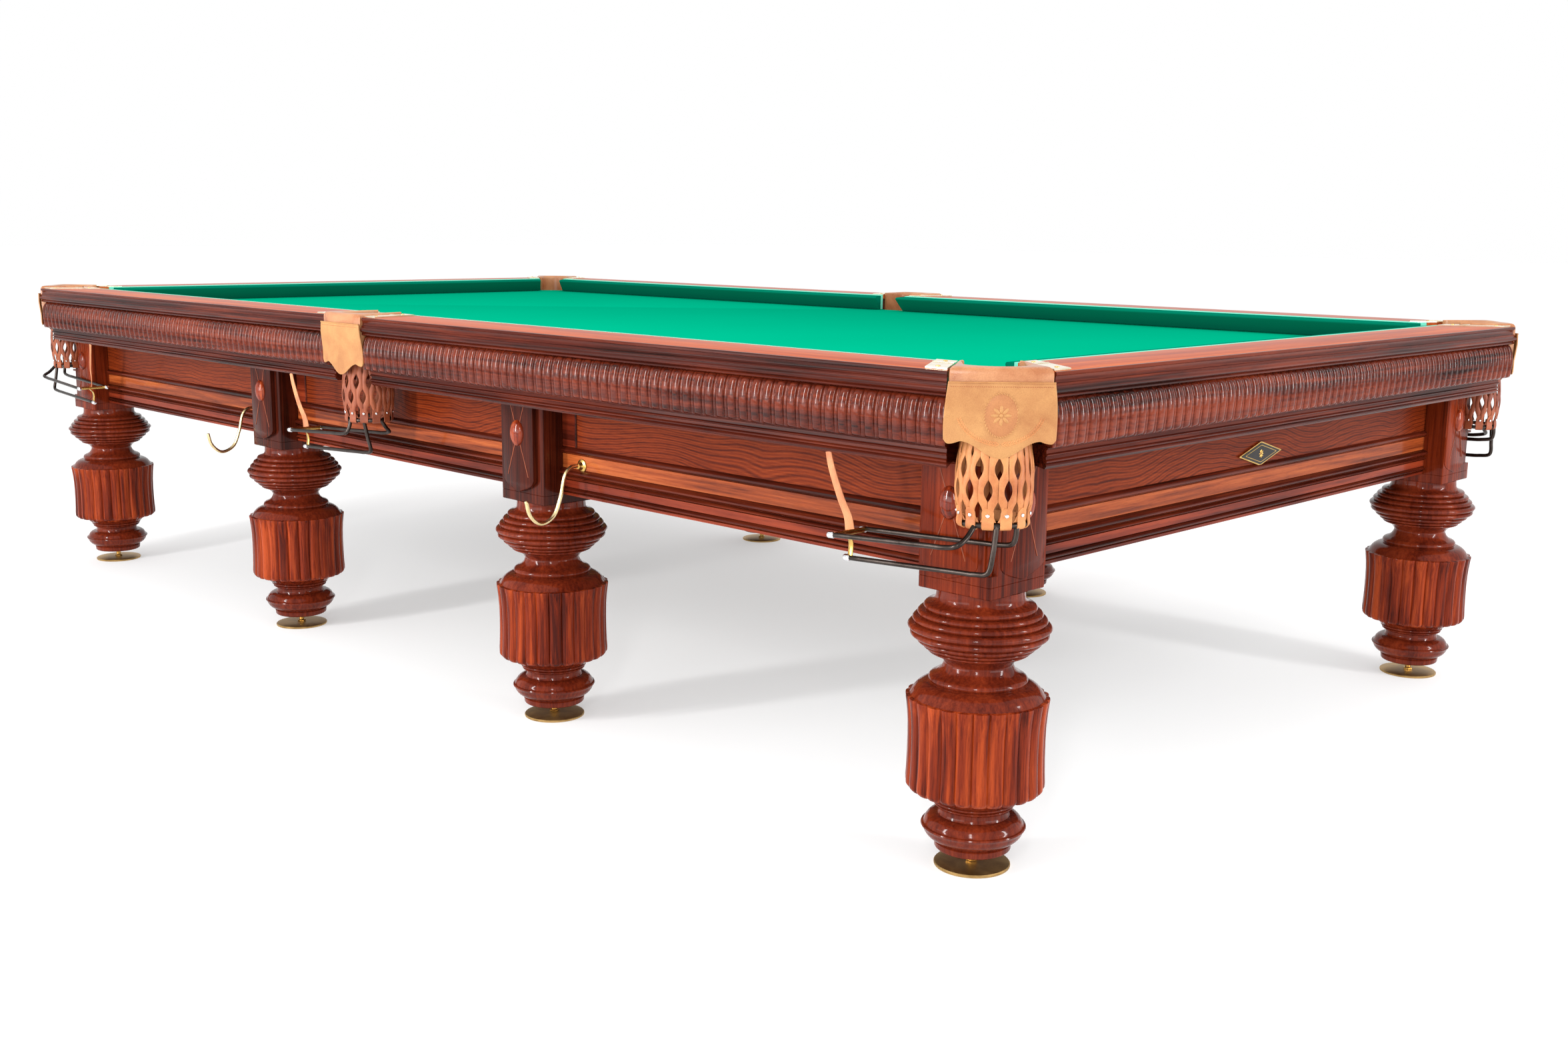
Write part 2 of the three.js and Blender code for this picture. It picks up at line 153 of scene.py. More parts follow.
def lathe(name, profile, segments, finish, relief=None, sharp=35.0):
    """A turned shape about Z, from [radius, level] points that start and end on the axis."""
    profile = np.asarray(profile, float)
    inner = profile[1:-1]
    angle = turns(segments)
    radius = np.repeat(inner[:, :1], segments, 1)
    level = np.repeat(inner[:, 1:], segments, 1)
    if relief is not None:
        radius = radius + relief(angle[None, :], level)
    points = np.stack([radius * np.cos(angle), radius * np.sin(angle), level], -1).reshape(-1, 3)
    verts = np.vstack([points, [[0, 0, profile[0][1]]], [[0, 0, profile[-1][1]]]])
    faces = grid_faces(len(inner), segments, wrap_columns=True)
    low, high, last = len(points), len(points) + 1, (len(inner) - 1) * segments
    for j in range(segments):
        k = (j + 1) % segments
        faces.append((low, k, j))
        faces.append((high, last + j, last + k))
    return mesh_object(name, verts, faces, finish, sharp)


def arc(start, end, bulge, steps=8):
    """Points of an arc from start to end, which stands off its chord by bulge, to the left if positive."""
    start, end = np.asarray(start, float), np.asarray(end, float)
    chord = end - start
    side = np.array([-chord[1], chord[0]]) / np.linalg.norm(chord)
    t = np.linspace(0, 1, steps + 1)[:, None]
    return (start + chord * t + side * bulge * 4 * t * (1 - t)).tolist()


def blend(a, b, start, end, t):
    """A point on the line that is at a when t is start, and at b when t is end."""
    return ((end - t) * a + (t - start) * b) / (end - start)


def smooth_path(points, steps=10):
    """A centripetal Catmull-Rom curve through the points."""
    points = np.asarray(points, float)
    ends = [2 * points[0] - points[1], *points, 2 * points[-1] - points[-2]]
    out = []
    for a, b, c, d in zip(ends[:-3], ends[1:-2], ends[2:-1], ends[3:]):
        gaps = [max(np.linalg.norm(q - p), 1e-6) ** 0.5 for p, q in ((a, b), (b, c), (c, d))]
        t0, t1, t2, t3 = np.cumsum([0, *gaps])
        for t in np.linspace(t1, t2, steps, endpoint=False):
            a1, a2, a3 = blend(a, b, t0, t1, t), blend(b, c, t1, t2, t), blend(c, d, t2, t3, t)
            b1, b2 = blend(a1, a2, t0, t2, t), blend(a2, a3, t1, t3, t)
            out.append(blend(b1, b2, t1, t2, t))
    out.append(points[-1])
    return np.array(out)


def both_halves(half):
    """An outline from its right half, which runs from the near end to a last point on the middle line."""
    return [*half, *[(-x, y) for x, y in half[-2::-1]]]


def path_frames(path):
    """Two directions across a path at each of its points, carried along without twist."""
    along = tangents(path)
    side = np.cross(along[0], (0, 0, 1))
    if np.linalg.norm(side) < 1e-3:
        side = np.cross(along[0], (1, 0, 0))
    sides = []
    for t in along:
        side = side - t * (side @ t)
        side /= np.linalg.norm(side)
        sides.append(side)
    return np.array(sides), np.cross(along, sides)


def tube(name, path, radius, finish, count=14):
    """A round bar with domed ends."""
    path = np.asarray(path, float)
    sides, ups = path_frames(path)
    angle = turns(count)
    circle = np.cos(angle)[None, :, None] * sides[:, None] + np.sin(angle)[None, :, None] * ups[:, None]
    ends = []
    for row, step in ((0, path[0] - path[1]), (-1, path[-1] - path[-2])):
        step = step / np.linalg.norm(step)
        ends.append([path[row] + radius * (math.cos(a) * circle[row] + 0.5 * math.sin(a) * step)
                     for a in (0.5, 1.0, 1.4)])
    rings = [*ends[0][::-1], *(path[:, None] + radius * circle), *ends[1]]
    return loft(name, rings, finish, 50)


def join(name, objects):
    """One object from several, keeping their materials."""
    bpy.ops.object.select_all(action="DESELECT")
    for piece in objects:
        piece.select_set(True)
    bpy.context.view_layer.objects.active = objects[0]
    bpy.ops.object.join()
    objects[0].name = name
    objects[0].data.name = name
    return objects[0]


def move(piece, matrix):
    """Moves a mesh's points by a 4 x 4 matrix in metres."""
    piece.data.transform(matrix)
    if matrix.determinant() < 0:
        piece.data.flip_normals()
    return piece


def settle(piece, slot, *replaced, body=TABLE):
    """Fastens a finished piece to its body."""
    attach(piece, body)
    if replaced:
        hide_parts(*replaced)
    return piece


def round_edges(piece, width, angle):
    """Rounds a mesh's edges that are sharper than an angle, by a width in millimetres."""
    modifier = piece.modifiers.new("round", "BEVEL")
    modifier.width = width * MM
    modifier.segments = 2
    modifier.limit_method = "ANGLE"
    modifier.angle_limit = math.radians(angle)
    modifier.harden_normals = False
    bpy.context.view_layer.objects.active = piece
    bpy.ops.object.modifier_apply(modifier=modifier.name)
    piece.data.shade_smooth()
    piece.data.set_sharp_from_angle(angle=math.radians(40))
    return piece


def prism(name, outline, low, high, finish, place=lambda a, b, depth: np.stack([a, b, depth], -1)):
    """An outline drawn between two depths; place turns (x, y, depth) arrays into points."""
    outline = np.asarray(outline, float)
    rings = [place(outline[:, 0], outline[:, 1], np.full(len(outline), depth)) for depth in (low, high)]
    return loft(name, rings, finish)


# ---- material helpers
def srgb(red, green, blue):
    """A colour from 0 to 255 in screen values, as linear light."""
    def linear(value):
        value /= 255
        return value / 12.92 if value <= 0.04045 else ((value + 0.055) / 1.055) ** 2.4
    return (linear(red), linear(green), linear(blue), 1.0)


class Finish:
    """A material with its node tree, built a node at a time."""

    def __init__(self, name, roughness=0.5, metallic=0.0, coat=0.0, coat_roughness=0.08):
        self.material = bpy.data.materials.new(name)
        self.material.use_nodes = True
        self.tree = self.material.node_tree
        self.shader = self.tree.nodes["Principled BSDF"]
        self.set("Roughness", roughness)
        self.set("Metallic", metallic)
        self.set("Coat Weight", coat)
        self.set("Coat Roughness", coat_roughness)

    def set(self, socket, value):
        self.shader.inputs[socket].default_value = value

    def node(self, kind, inputs=None, **settings):
        made = self.tree.nodes.new("ShaderNode" + kind)
        for key, value in settings.items():
            setattr(made, key, value)
        for key, value in (inputs or {}).items():
            self.feed(made.inputs[key], value)
        return made

    def feed(self, socket, value):
        if isinstance(value, bpy.types.NodeSocket):
            self.tree.links.new(value, socket)
        else:
            socket.default_value = value

    def coords(self, scale=(1, 1, 1)):
        source = self.node("TexCoord").outputs["Object"]
        return self.node("Mapping", {"Vector": source, "Scale": scale}).outputs[0]

    def noise(self, vector, scale, detail=4.0, roughness=0.55, distortion=0.0):
        inputs = {"Vector": vector, "Scale": scale, "Detail": detail, "Roughness": roughness,
                  "Distortion": distortion}
        return self.node("TexNoise", inputs).outputs[0]

    def math(self, operation, a, b=0.0, c=0.0):
        return self.node("Math", {0: a, 1: b, 2: c}, operation=operation).outputs[0]

    def ramp(self, factor, *stops):
        made = self.node("ValToRGB", {"Fac": factor})
        elements = made.color_ramp.elements
        while len(elements) < len(stops):
            elements.new(0.5)
        for element, (position, colour) in zip(elements, stops):
            element.position = position
            element.color = srgb(*colour) if len(colour) == 3 else colour
        return made.outputs[0]

    def mix(self, factor, a, b, blend="MIX"):
        made = self.node("Mix", data_type="RGBA", blend_type=blend)
        for index, value in ((0, factor), (6, a), (7, b)):
            self.feed(made.inputs[index], value)
        return made.outputs[2]

    def colour(self, socket):
        self.tree.links.new(socket, self.shader.inputs["Base Color"])

    def rough(self, socket):
        self.tree.links.new(socket, self.shader.inputs["Roughness"])

    def bump(self, height, strength, distance):
        made = self.node("Bump", {"Strength": strength, "Distance": distance, "Height": height})
        self.tree.links.new(made.outputs[0], self.shader.inputs["Normal"])


def grain_scale(along, long_share):
    """Stretches a texture along one axis."""
    return tuple(long_share if axis == along else 1.0 for axis in "XYZ")


def wood(name, dark, middle, light, along, gloss=0.3, coat=0.7, figure=6.0, bump=0.1):
    """Lacquered wood: soft growth bands, fine streaks and short dark pores along one axis."""
    made = Finish(name, gloss, coat=coat)
    made.set("Specular IOR Level", 0.04)
    bands = made.noise(made.coords(grain_scale(along, 0.05)), figure * 4, 3.0, 0.55, 0.8)
    streaks = made.noise(made.coords(grain_scale(along, 0.025)), 150, 5.0, 0.6, 0.2)
    pores = made.noise(made.coords(grain_scale(along, 0.05)), 700, 2.0, 0.6)
    blend = made.math("MULTIPLY_ADD", streaks, 0.5, made.math("MULTIPLY", bands, 0.55))
    tone = made.ramp(blend, (0.4, dark), (0.52, middle), (0.66, light))
    fleck = made.ramp(pores, (0.36, (0.4, 0.34, 0.32, 1)), (0.47, (1, 1, 1, 1)))
    made.colour(made.mix(0.35, tone, fleck, "MULTIPLY"))
    made.rough(made.math("MULTIPLY_ADD", streaks, 0.16, gloss - 0.08))
    made.bump(made.math("ADD", streaks, made.math("MULTIPLY", pores, 0.6)), bump, 0.0006)
    return made.material


def veneer(name, dark, middle, light, along):
    """Book-matched veneer with tall pointed arches in its growth rings."""
    made = Finish(name, 0.34, coat=0.06, coat_roughness=0.12)
    made.set("Specular IOR Level", 0.04)
    parts = made.node("SeparateXYZ", {0: made.coords()})
    lengthwise = parts.outputs[0 if along == "X" else 1]
    mirrored = made.math("PINGPONG", made.math("ADD", lengthwise, 0.13), 0.47)
    across = made.math("SUBTRACT", parts.outputs[2], 0.655)
    wobble = made.noise(made.coords((0.6, 0.6, 0.4)), 5.0, 2.0, 0.35)
    point = made.node("CombineXYZ", {
        0: made.math("MULTIPLY", mirrored, 0.11),
        1: made.math("MULTIPLY_ADD", wobble, 0.14, across),
    }).outputs[0]
    rings = made.node("TexWave", {
        "Vector": point, "Scale": 30.0, "Distortion": 1.8, "Detail": 2.0, "Detail Scale": 0.8,
        "Detail Roughness": 0.5,
    }, wave_type="RINGS", rings_direction="Z", wave_profile="SIN").outputs["Fac"]
    streaks = made.noise(made.coords(grain_scale(along, 0.03)), 170, 6.0, 0.65, 0.3)
    patches = made.noise(made.coords(grain_scale(along, 0.3)), 5.0, 2.0)
    lines = made.ramp(rings, (0.0, dark), (0.2, middle), (0.62, light), (1.0, middle))
    haze = made.ramp(streaks, (0.32, dark), (0.5, middle), (0.66, light))
    tone = made.mix(0.42, lines, haze)
    shade = made.ramp(patches, (0.3, (0.62, 0.52, 0.5, 1)), (0.62, (1, 1, 1, 1)))
    pores = made.noise(made.coords(grain_scale(along, 0.05)), 800, 2.0, 0.6)
    fleck = made.ramp(pores, (0.36, (0.4, 0.33, 0.3, 1)), (0.47, (1, 1, 1, 1)))
    figured = made.mix(0.8, tone, shade, "MULTIPLY")
    made.colour(made.mix(0.5, figured, fleck, "MULTIPLY"))
    made.bump(made.math("ADD", streaks, pores), 0.08, 0.0005)
    return made.material


def cloth(name, base, shade):
    """Combed billiard cloth: a fine twill under a short nap."""
    made = Finish(name, 0.94)
    made.set("Specular IOR Level", 0.0)
    fibres = made.noise(made.coords((1, 0.35, 1)), 1400, 3.0, 0.7)
    clouds = made.noise(made.coords(), 2.2, 3.0, 0.5)
    tone = made.mix(made.math("MULTIPLY_ADD", clouds, 0.35, -0.05), srgb(*base), srgb(*shade))
    fine = made.ramp(fibres, (0.3, (0.86, 0.86, 0.86, 1)), (0.7, (1, 1, 1, 1)))
    made.colour(made.mix(0.6, tone, fine, "MULTIPLY"))
    made.bump(fibres, 0.12, 0.0003)
    return made.material


def leather(name, base, shade, scale=1.0, roughness=0.55):
    """Vegetable-tanned leather: pebbled grain, soft stains and rubbed patches."""
    made = Finish(name, roughness, coat=0.05, coat_roughness=0.4)
    made.set("Specular IOR Level", 0.35)
    stains = made.noise(made.coords(), 16 * scale, 5.0, 0.6, 0.4)
    pebbles = made.node("TexVoronoi", {
        "Vector": made.coords(), "Scale": 620 * scale, "Randomness": 1.0,
    }, feature="SMOOTH_F1").outputs["Distance"]
    fine = made.noise(made.coords(), 900 * scale, 3.0, 0.6)
    tone = made.ramp(stains, (0.32, shade), (0.6, base))
    dirt = made.ramp(pebbles, (0.1, (1, 1, 1, 1)), (0.75, (0.78, 0.74, 0.7, 1)))
    made.colour(made.mix(0.7, tone, dirt, "MULTIPLY"))
    made.rough(made.math("MULTIPLY_ADD", stains, 0.2, roughness - 0.1))
    made.bump(made.math("ADD", pebbles, fine), 0.22, 0.0005)
    return made.material


def speckled(name, roughness, scale, noise, dark, light, coat=0.0, specular=0.5):
    """A cloudy mix of two colours; noise is the texture's scale, detail and roughness."""
    made = Finish(name, roughness, coat=coat)
    made.set("Specular IOR Level", specular)
    made.colour(made.ramp(made.noise(made.coords(scale), *noise), (0.3, dark), (0.7, light)))
    return made.material


def metal(name, base, roughness, tarnish=None, brushed=0.0):
    """Metal with faint smears, and a darker tarnish where one is given."""
    made = Finish(name, roughness, 1.0)
    smears = made.noise(made.coords(), 28, 5.0, 0.6, 0.5)
    scratches = made.noise(made.coords((1, 1, 0.04)), 1500, 2.0, 0.7)
    made.colour(made.ramp(smears, (0.3, tarnish or base), (0.62, base)))
    made.rough(made.math("MULTIPLY_ADD", smears, 0.16, roughness - 0.06))
    made.bump(scratches, 0.03 + brushed, 0.0002)
    return made.material


# ---- finishes
def board_woods(along):
    """The rails' and aprons' woods, with their grain along one axis."""
    tag = along.lower()
    return {
        "dark": wood(f"dark_wood_{tag}", (32, 9, 5), (66, 20, 10), (98, 37, 19), along, 0.2, 0.2),
        "carved": wood(f"carved_wood_{tag}", (34, 9, 5), (80, 27, 14), (112, 44, 23), along, 0.16, 0.34),
        "plank": wood(f"rail_plank_{tag}", (140, 52, 20), (166, 72, 30), (188, 90, 38), along, 0.34, 0.1),
        "veneer": veneer(f"veneer_{tag}", (60, 17, 6), (104, 37, 13), (136, 57, 22), along),
        "band": wood(f"band_wood_{tag}", (58, 17, 9), (98, 33, 17), (128, 50, 26), along, 0.3, 0.2),
        "strip": wood(f"strip_wood_{tag}", (88, 34, 15), (134, 60, 26), (164, 84, 40), along, 0.3, 0.2),
    }


WOODS = {along: board_woods(along) for along in "XY"}
leg_wood = wood("leg_wood", (60, 16, 7), (108, 35, 14), (152, 61, 25), "Z", 0.24, 0.14, 7.0)
turned_wood = wood("turned_wood", (72, 21, 10), (96, 32, 15), (118, 44, 21), "Z", 0.17, 0.26, 2.5)
block_wood = wood("block_wood", (56, 15, 6), (94, 30, 11), (122, 44, 17), "Z", 0.26, 0.1, 5.0)
# A darker copy of the block wood: painted shade for the middle legs' blocks.
shaded_block_wood = wood("shaded_block_wood", (28, 8, 4), (56, 17, 8), (82, 29, 14), "Z", 0.24, 0.14, 5.0)
line_wood = wood("line_wood", (104, 46, 28), (122, 60, 38), (140, 76, 50), "Z", 0.3, 0.3)
cabochon_wood = wood("cabochon_wood", (66, 19, 9), (118, 40, 18), (158, 70, 34), "Z", 0.14, 0.5)
beam_wood = wood("beam_wood", (140, 104, 64), (176, 138, 92), (200, 164, 118), "Y", 0.6, 0.0)
bed_cloth = cloth("bed_cloth", (0, 158, 120), (0, 146, 106))
# The cushions' cloth is the bed's green painted darker: painted shade on the cushions' faces.
cushion_cloth = cloth("cushion_cloth", (2, 108, 84), (0, 94, 72))
# The feather strip is a real part, but its pale teal is a painted highlight along the cushion's top edge.
highlight_strip_cloth = cloth("feather_strip_highlight", (120, 214, 190), (96, 196, 172))
shield_leather = leather("shield_leather", (178, 128, 76), (158, 104, 58))
field_leather = leather("field_leather", (172, 114, 68), (152, 94, 54))
leaf_leather = leather("leaf_leather", (196, 134, 80), (164, 100, 54))
roll_leather = leather("roll_leather", (184, 130, 90), (158, 98, 62), 0.8, 0.3)
net_leather = leather("net_leather", (198, 132, 78), (164, 92, 48))
# A darker, redder copy of the net leather: painted shade for the five nets away from the lit near corner.
shaded_net_leather = leather("shaded_net_leather", (150, 78, 46), (112, 48, 26))
strap_leather = leather("strap_leather", (206, 136, 92), (168, 98, 62))
stitch_thread = leather("stitch_thread", (150, 72, 32), (120, 52, 24), 2.0)
brass = metal("brass", (214, 178, 104), 0.24, (176, 132, 66))
pale_brass = metal("pale_brass", (232, 212, 164), 0.24, (204, 176, 120))
bronze = metal("bronze", (188, 154, 100), 0.42, (150, 118, 70), 0.05)
cream_brass = metal("cream_brass", (246, 236, 212), 0.2, (226, 210, 172))
rod_metal = metal("rod_metal", (70, 62, 58), 0.3, (44, 38, 35))
chrome = metal("chrome", (226, 226, 228), 0.12)
slate_stone = speckled("slate_stone", 0.7, (1, 1, 6), (9, 6.0, 0.6), (52, 56, 60), (84, 88, 92))
enamel = speckled("black_enamel", 0.3, (1, 1, 1), (60, 3.0), (14, 10, 9), (26, 19, 16), 0.1, 0.2)


# ---- sides, jaws and mouldings
SIDES = {
    "back": (0.0, NOSE_Y, "X"),
    "front": (math.pi, NOSE_Y, "X"),
    "right": (-math.pi / 2, NOSE_X, "Y"),
    "left": (math.pi / 2, NOSE_X, "Y"),
}


def side_matrix(side):
    """From a side's own frame, with X along it and Y out from the cushion nose, to the table's."""
    turn, nose, _ = SIDES[side]
    place = (-math.sin(turn) * nose * MM, math.cos(turn) * nose * MM, 0)
    return Matrix.Translation(place) @ Matrix.Rotation(turn, 4, "Z")


def corner_jaw(half_field):
    """How far along a side its rail runs towards a corner, for a distance out from the nose."""
    near, far = half_field - CORNER_JAW, half_field + RAIL_WIDTH - CORNER_CUT
    return lambda out: near + (far - near) * out / RAIL_WIDTH


def middle_jaw(out):
    """The same for the end of a long rail beside a middle pocket."""
    return MIDDLE_JAW + (MIDDLE_GAP - MIDDLE_JAW) * out / RAIL_WIDTH


def mirrored(jaw):
    """A rail end at the other end of its side."""
    return lambda out: -jaw(out)


def level(position):
    """A constant end for a moulding."""
    return lambda out: position


def shifted(jaw, shift):
    """A rail end moved along its side."""
    return lambda out: jaw(out) + shift


def moulding(name, section, start, end, finish, sharp=30):
    """A straight moulding of [out, level] points along X, with leaning ends."""
    section = np.asarray(section, float)
    rings = [np.stack([[jaw(out) for out in section[:, 0]], section[:, 0], section[:, 1]], -1)
             for jaw in (start, end)]
    return loft(name, rings, finish, sharp)


# ---- rails and cushions
RIB_PERIOD = 30.0
WIDE_SHARE = 0.7
WIDE_HEIGHT, BEAD_HEIGHT = 5.8, 2.6
RIB_STATIONS = (0, .015, .06, .13, .23, .35, .47, .57, .64, .685, .7, .715, .76, .85, .94, .985)
JAW_FADE = 30.0
BAND_BACK = 150.0
PLANK = [(50, 880), (184, 880), (184, 889), (183.3, 891.2), (181.5, 892), (50, 892)]
CROWN = [
    (120, 880), (184.3, 880), (184.3, 890.6), (185.2, 891.4), (188.6, 891), (189.8, 889.4), (189.8, 885.6),
    (188.4, 884.4), *arc((188.4, 884.2), (187.4, 873.4), -1.6, 6), (189.6, 872.6), (190.2, 870.6),
    *arc((190.4, 868.6), (190.8, 856.6), 4.2, 10), (188.6, 855.8),
    *arc((188.4, 855.4), (188.8, 850.2), 2.2, 6), (186, 849), (120, 849),
]
FOOT = [
    (100, 730.3), (100, 768.2), (168.4, 768.2), *arc((168.6, 767.9), (168.6, 763.2), 2.6, 6),
    (166.4, 762.4), (166.8, 756.6), *arc((167.6, 756.2), (167.6, 751.8), 2.4, 6), (165.2, 751.2),
    (165.4, 746.4), *arc((166, 746), (166.6, 740.4), 2.8, 6), (165, 739.6),
    *arc((165.4, 739.2), (164.4, 733), 2.8, 6), (162.6, 730.3),
]
CORE = [
    (50, 845.3), (70, 845.3), (70, 796.8), (42.6, 796.8), (42.6, 730.3), (99.8, 730.3), (99.8, 776),
    (119.8, 776), (119.8, 879.8), (50, 879.8),
]
BAND_CURVE = [
    (177.6, 848.6), (182.6, 840), (186.2, 830), (188.4, 818), (189.2, 806), (188.8, 793), (187.8, 780),
    (186.6, 768.9),
]


def rib_relief(phase):
    """A wide round rib and a narrow bead in each period."""
    wide_half, bead_half = WIDE_SHARE / 2, (1 - WIDE_SHARE) / 2
    wide = np.sqrt(np.clip(1 - (phase / wide_half - 1) ** 2, 0, 1))
    bead = np.sqrt(np.clip(1 - ((phase - WIDE_SHARE) / bead_half - 1) ** 2, 0, 1))
    return np.where(phase < WIDE_SHARE, WIDE_HEIGHT * wide, BEAD_HEIGHT * bead)


def gadroon(name, start, end, finish):
    """The carved band of upright ribs, round at the top and long below."""
    curve = smooth_path(BAND_CURVE, 4)
    along = np.concatenate([[0], np.cumsum(np.linalg.norm(np.diff(curve, axis=0), axis=1))])
    v = along / along[-1]
    direction = tangents(curve)
    swell = np.sqrt(np.clip(v / 0.1, 0, 1)) * (1 - 0.3 * np.clip((v - 0.4) / 0.6, 0, 1))
    swell *= np.sqrt(np.clip((1 - v) / 0.05, 0, 1))
    middle = curve[len(curve) // 2][0]
    x0, x1 = start(middle), end(middle)
    count = round((x1 - x0) / RIB_PERIOD)
    phase = np.array([*np.tile(RIB_STATIONS, count), 0.0])
    whole = np.array([*np.repeat(np.arange(count), len(RIB_STATIONS)), count])
    x = x0 + (x1 - x0) * (whole + phase) / count
    height = rib_relief(phase)[:, None] * swell
    near_start = np.clip(1 - (x - x0) / JAW_FADE, 0, 1)[:, None]
    near_end = np.clip(1 - (x1 - x) / JAW_FADE, 0, 1)[:, None]

    def leaning(outs):
        """Places along the band at some distances out, which lean with the jaws near its ends."""
        lean_start = np.array([start(out) - x0 for out in outs])
        lean_end = np.array([end(out) - x1 for out in outs])
        return x[:, None] + lean_start * near_start + lean_end * near_end

    front_out = curve[:, 0] - height * direction[:, 1]
    front_level = curve[:, 1] + height * direction[:, 0]
    front = np.stack([leaning(curve[:, 0]), front_out, front_level], -1)
    back_level = np.tile([curve[-1][1], curve[0][1]], (len(x), 1))
    back = np.stack([leaning([BAND_BACK] * 2), np.full(back_level.shape, BAND_BACK), back_level], -1)
    return loft(name, np.concatenate([front, back], 1), finish, 50)


CUSHION = [
    (30, 845.3), (36.2, 845.3), (36.2, 890.6), (22, 890.2), (8, 889.2), (4.4, 888.6), (2, 887.6), (0.6, 886),
    (0.1, 884.2), (0.6, 882.4), (1.8, 880.8),
]
FEATHER = [(36.4, 846), (49.8, 846), (49.8, 891.6), (48.8, 892.4), (37, 891.6), (36.4, 890.8)]


def rail_and_cushion(name, side, start, end):
    """One rail with its carved band and its cushion, between two rail ends."""
    woods = WOODS[SIDES[side][2]]
    parts = [
        moulding("plank", PLANK, start, end, woods["plank"]),
        moulding("crown", CROWN, start, end, woods["dark"]),
        gadroon("band", start, end, woods["carved"]),
        moulding("foot", FOOT, start, end, woods["dark"]),
        moulding("core", CORE, start, end, woods["dark"]),
    ]
    rail = move(join(f"carved_rail_{name}", parts), side_matrix(side))
    settle(rail, "rail_wood", f"rail_{name}")
    # The rubber's cloth is painted darker than the bed's, as painted shade.
    rubber = round_edges(moulding("rubber", CUSHION, start, end, cushion_cloth, 40), 1.5, 50)
    # The strip's pale cloth is a painted highlight.
    feather = moulding("feather", FEATHER, start, end, highlight_strip_cloth)
    cushion = move(join(f"rubber_cushion_{name}", [rubber, feather]), side_matrix(side))
    settle(cushion, "cushion_cloth", f"cushion_{name}")


LONG_JAW, SHORT_JAW = corner_jaw(NOSE_X), corner_jaw(NOSE_Y)
RAILS = [
    ("front_left", "front", middle_jaw, LONG_JAW),
    ("front_right", "front", mirrored(LONG_JAW), mirrored(middle_jaw)),
    ("back_right", "back", middle_jaw, LONG_JAW),
    ("back_left", "back", mirrored(LONG_JAW), mirrored(middle_jaw)),
    ("right", "right", mirrored(SHORT_JAW), SHORT_JAW),
    ("left", "left", mirrored(SHORT_JAW), SHORT_JAW),
]
for rail_name, rail_side, rail_start, rail_end in RAILS:
    rail_and_cushion(rail_name, rail_side, rail_start, rail_end)


# ---- bed
SLATE_X, SLATE_Y = cloth_high[0], cloth_high[1]
NOTCH_HALF, NOTCH_FLARE, NOTCH_INNER = MIDDLE_JAW + 16, 6.0, NOSE_Y + 45  # the notch at a middle pocket
END_CUT = (math.sqrt(2) * (SLATE_X - NOSE_X) - 45) * math.sqrt(2)
TUCK = 22.0


def bed_edge(sign):
    """The notch in a long edge."""
    return [
        (sign * (NOTCH_HALF + NOTCH_FLARE), sign * SLATE_Y),
        (sign * NOTCH_HALF, sign * NOTCH_INNER),
        (-sign * NOTCH_HALF, sign * NOTCH_INNER),
        (-sign * (NOTCH_HALF + NOTCH_FLARE), sign * SLATE_Y),
    ]


def bed_end(sign):
    """A short edge and the two cut corners beside it."""
    return [
        (sign * (SLATE_X - END_CUT), -sign * SLATE_Y),
        (sign * SLATE_X, -sign * (SLATE_Y - END_CUT)),
        (sign * SLATE_X, sign * (SLATE_Y - END_CUT)),
        (sign * (SLATE_X - END_CUT), sign * SLATE_Y),
    ]


def stretched_cloth():
    """The bed's one cloth, turned down over the slate's edge at each pocket."""
    outline = [*bed_edge(-1), *bed_end(1), *bed_edge(1), *bed_end(-1)]
    verts = [(x, y, CLOTH_TOP) for x, y in outline]
    count = len(outline)
    faces = [tuple(range(count))]
    # Edges that face a pocket, by their place in the outline.
    for first in (0, 1, 2, 4, 6, 8, 9, 10, 12, 14):
        pair = (first, (first + 1) % count)
        edge = np.array(outline[pair[1]]) - np.array(outline[pair[0]])
        clear = 1.2 * np.array([edge[1], -edge[0]]) / np.linalg.norm(edge)
        low = len(verts)
        for k in pair:
            x, y = np.array(outline[k]) + clear
            verts.extend([(x, y, CLOTH_TOP - 1.5), (x, y, CLOTH_TOP - TUCK)])
        faces.append((pair[0], low, low + 2, pair[1]))
        faces.append((low, low + 1, low + 3, low + 2))
    return mesh_object("stretched_bed_cloth", verts, faces, bed_cloth, 60, closed=False)


bed = settle(stretched_cloth(), "bed_cloth", "bed_cloth")
for slate in ("left", "middle", "right"):
    nodes[f"slate_{slate}"].material_slots[0].material = slate_stone
    nodes[f"cross_beam_{slate}"].material_slots[0].material = beam_wood


# ---- aprons
FACE = APRON_X - NOSE_X
BOARD = 40.0
STILE = 44.0
STILE_LOW, STILE_HIGH = 635.4, 729.6
BAY_GAP = 0.4
HAIR = 0.1
PANEL_BEAD = arc((FACE + HAIR, 635), (FACE + HAIR, 619), 7.5, 10)
HOOK_STRIP = [(FACE + HAIR, 588), (FACE + HAIR, 618.6), (FACE + 1.4, 618.6), (FACE + 1.4, 588)]
BIG_BEAD = arc((FACE + HAIR, 587.6), (FACE + HAIR, 571.4), 13, 12)
SMALL_BEAD = arc((FACE + HAIR, 571), (FACE + HAIR, 562.6), 9, 8)
BAND = [(FACE + HAIR, 562.2), (FACE + 5, 562.2), (FACE + 5, 547), (FACE + HAIR, 546.4)]
LOW_BEAD = arc((FACE + HAIR, 546), (FACE + HAIR, 534.4), 9, 8)
LIP = [(FACE + HAIR, 534), (FACE + 5.5, 534), (FACE + 5.5, 528.4), (FACE + HAIR, 528.4)]


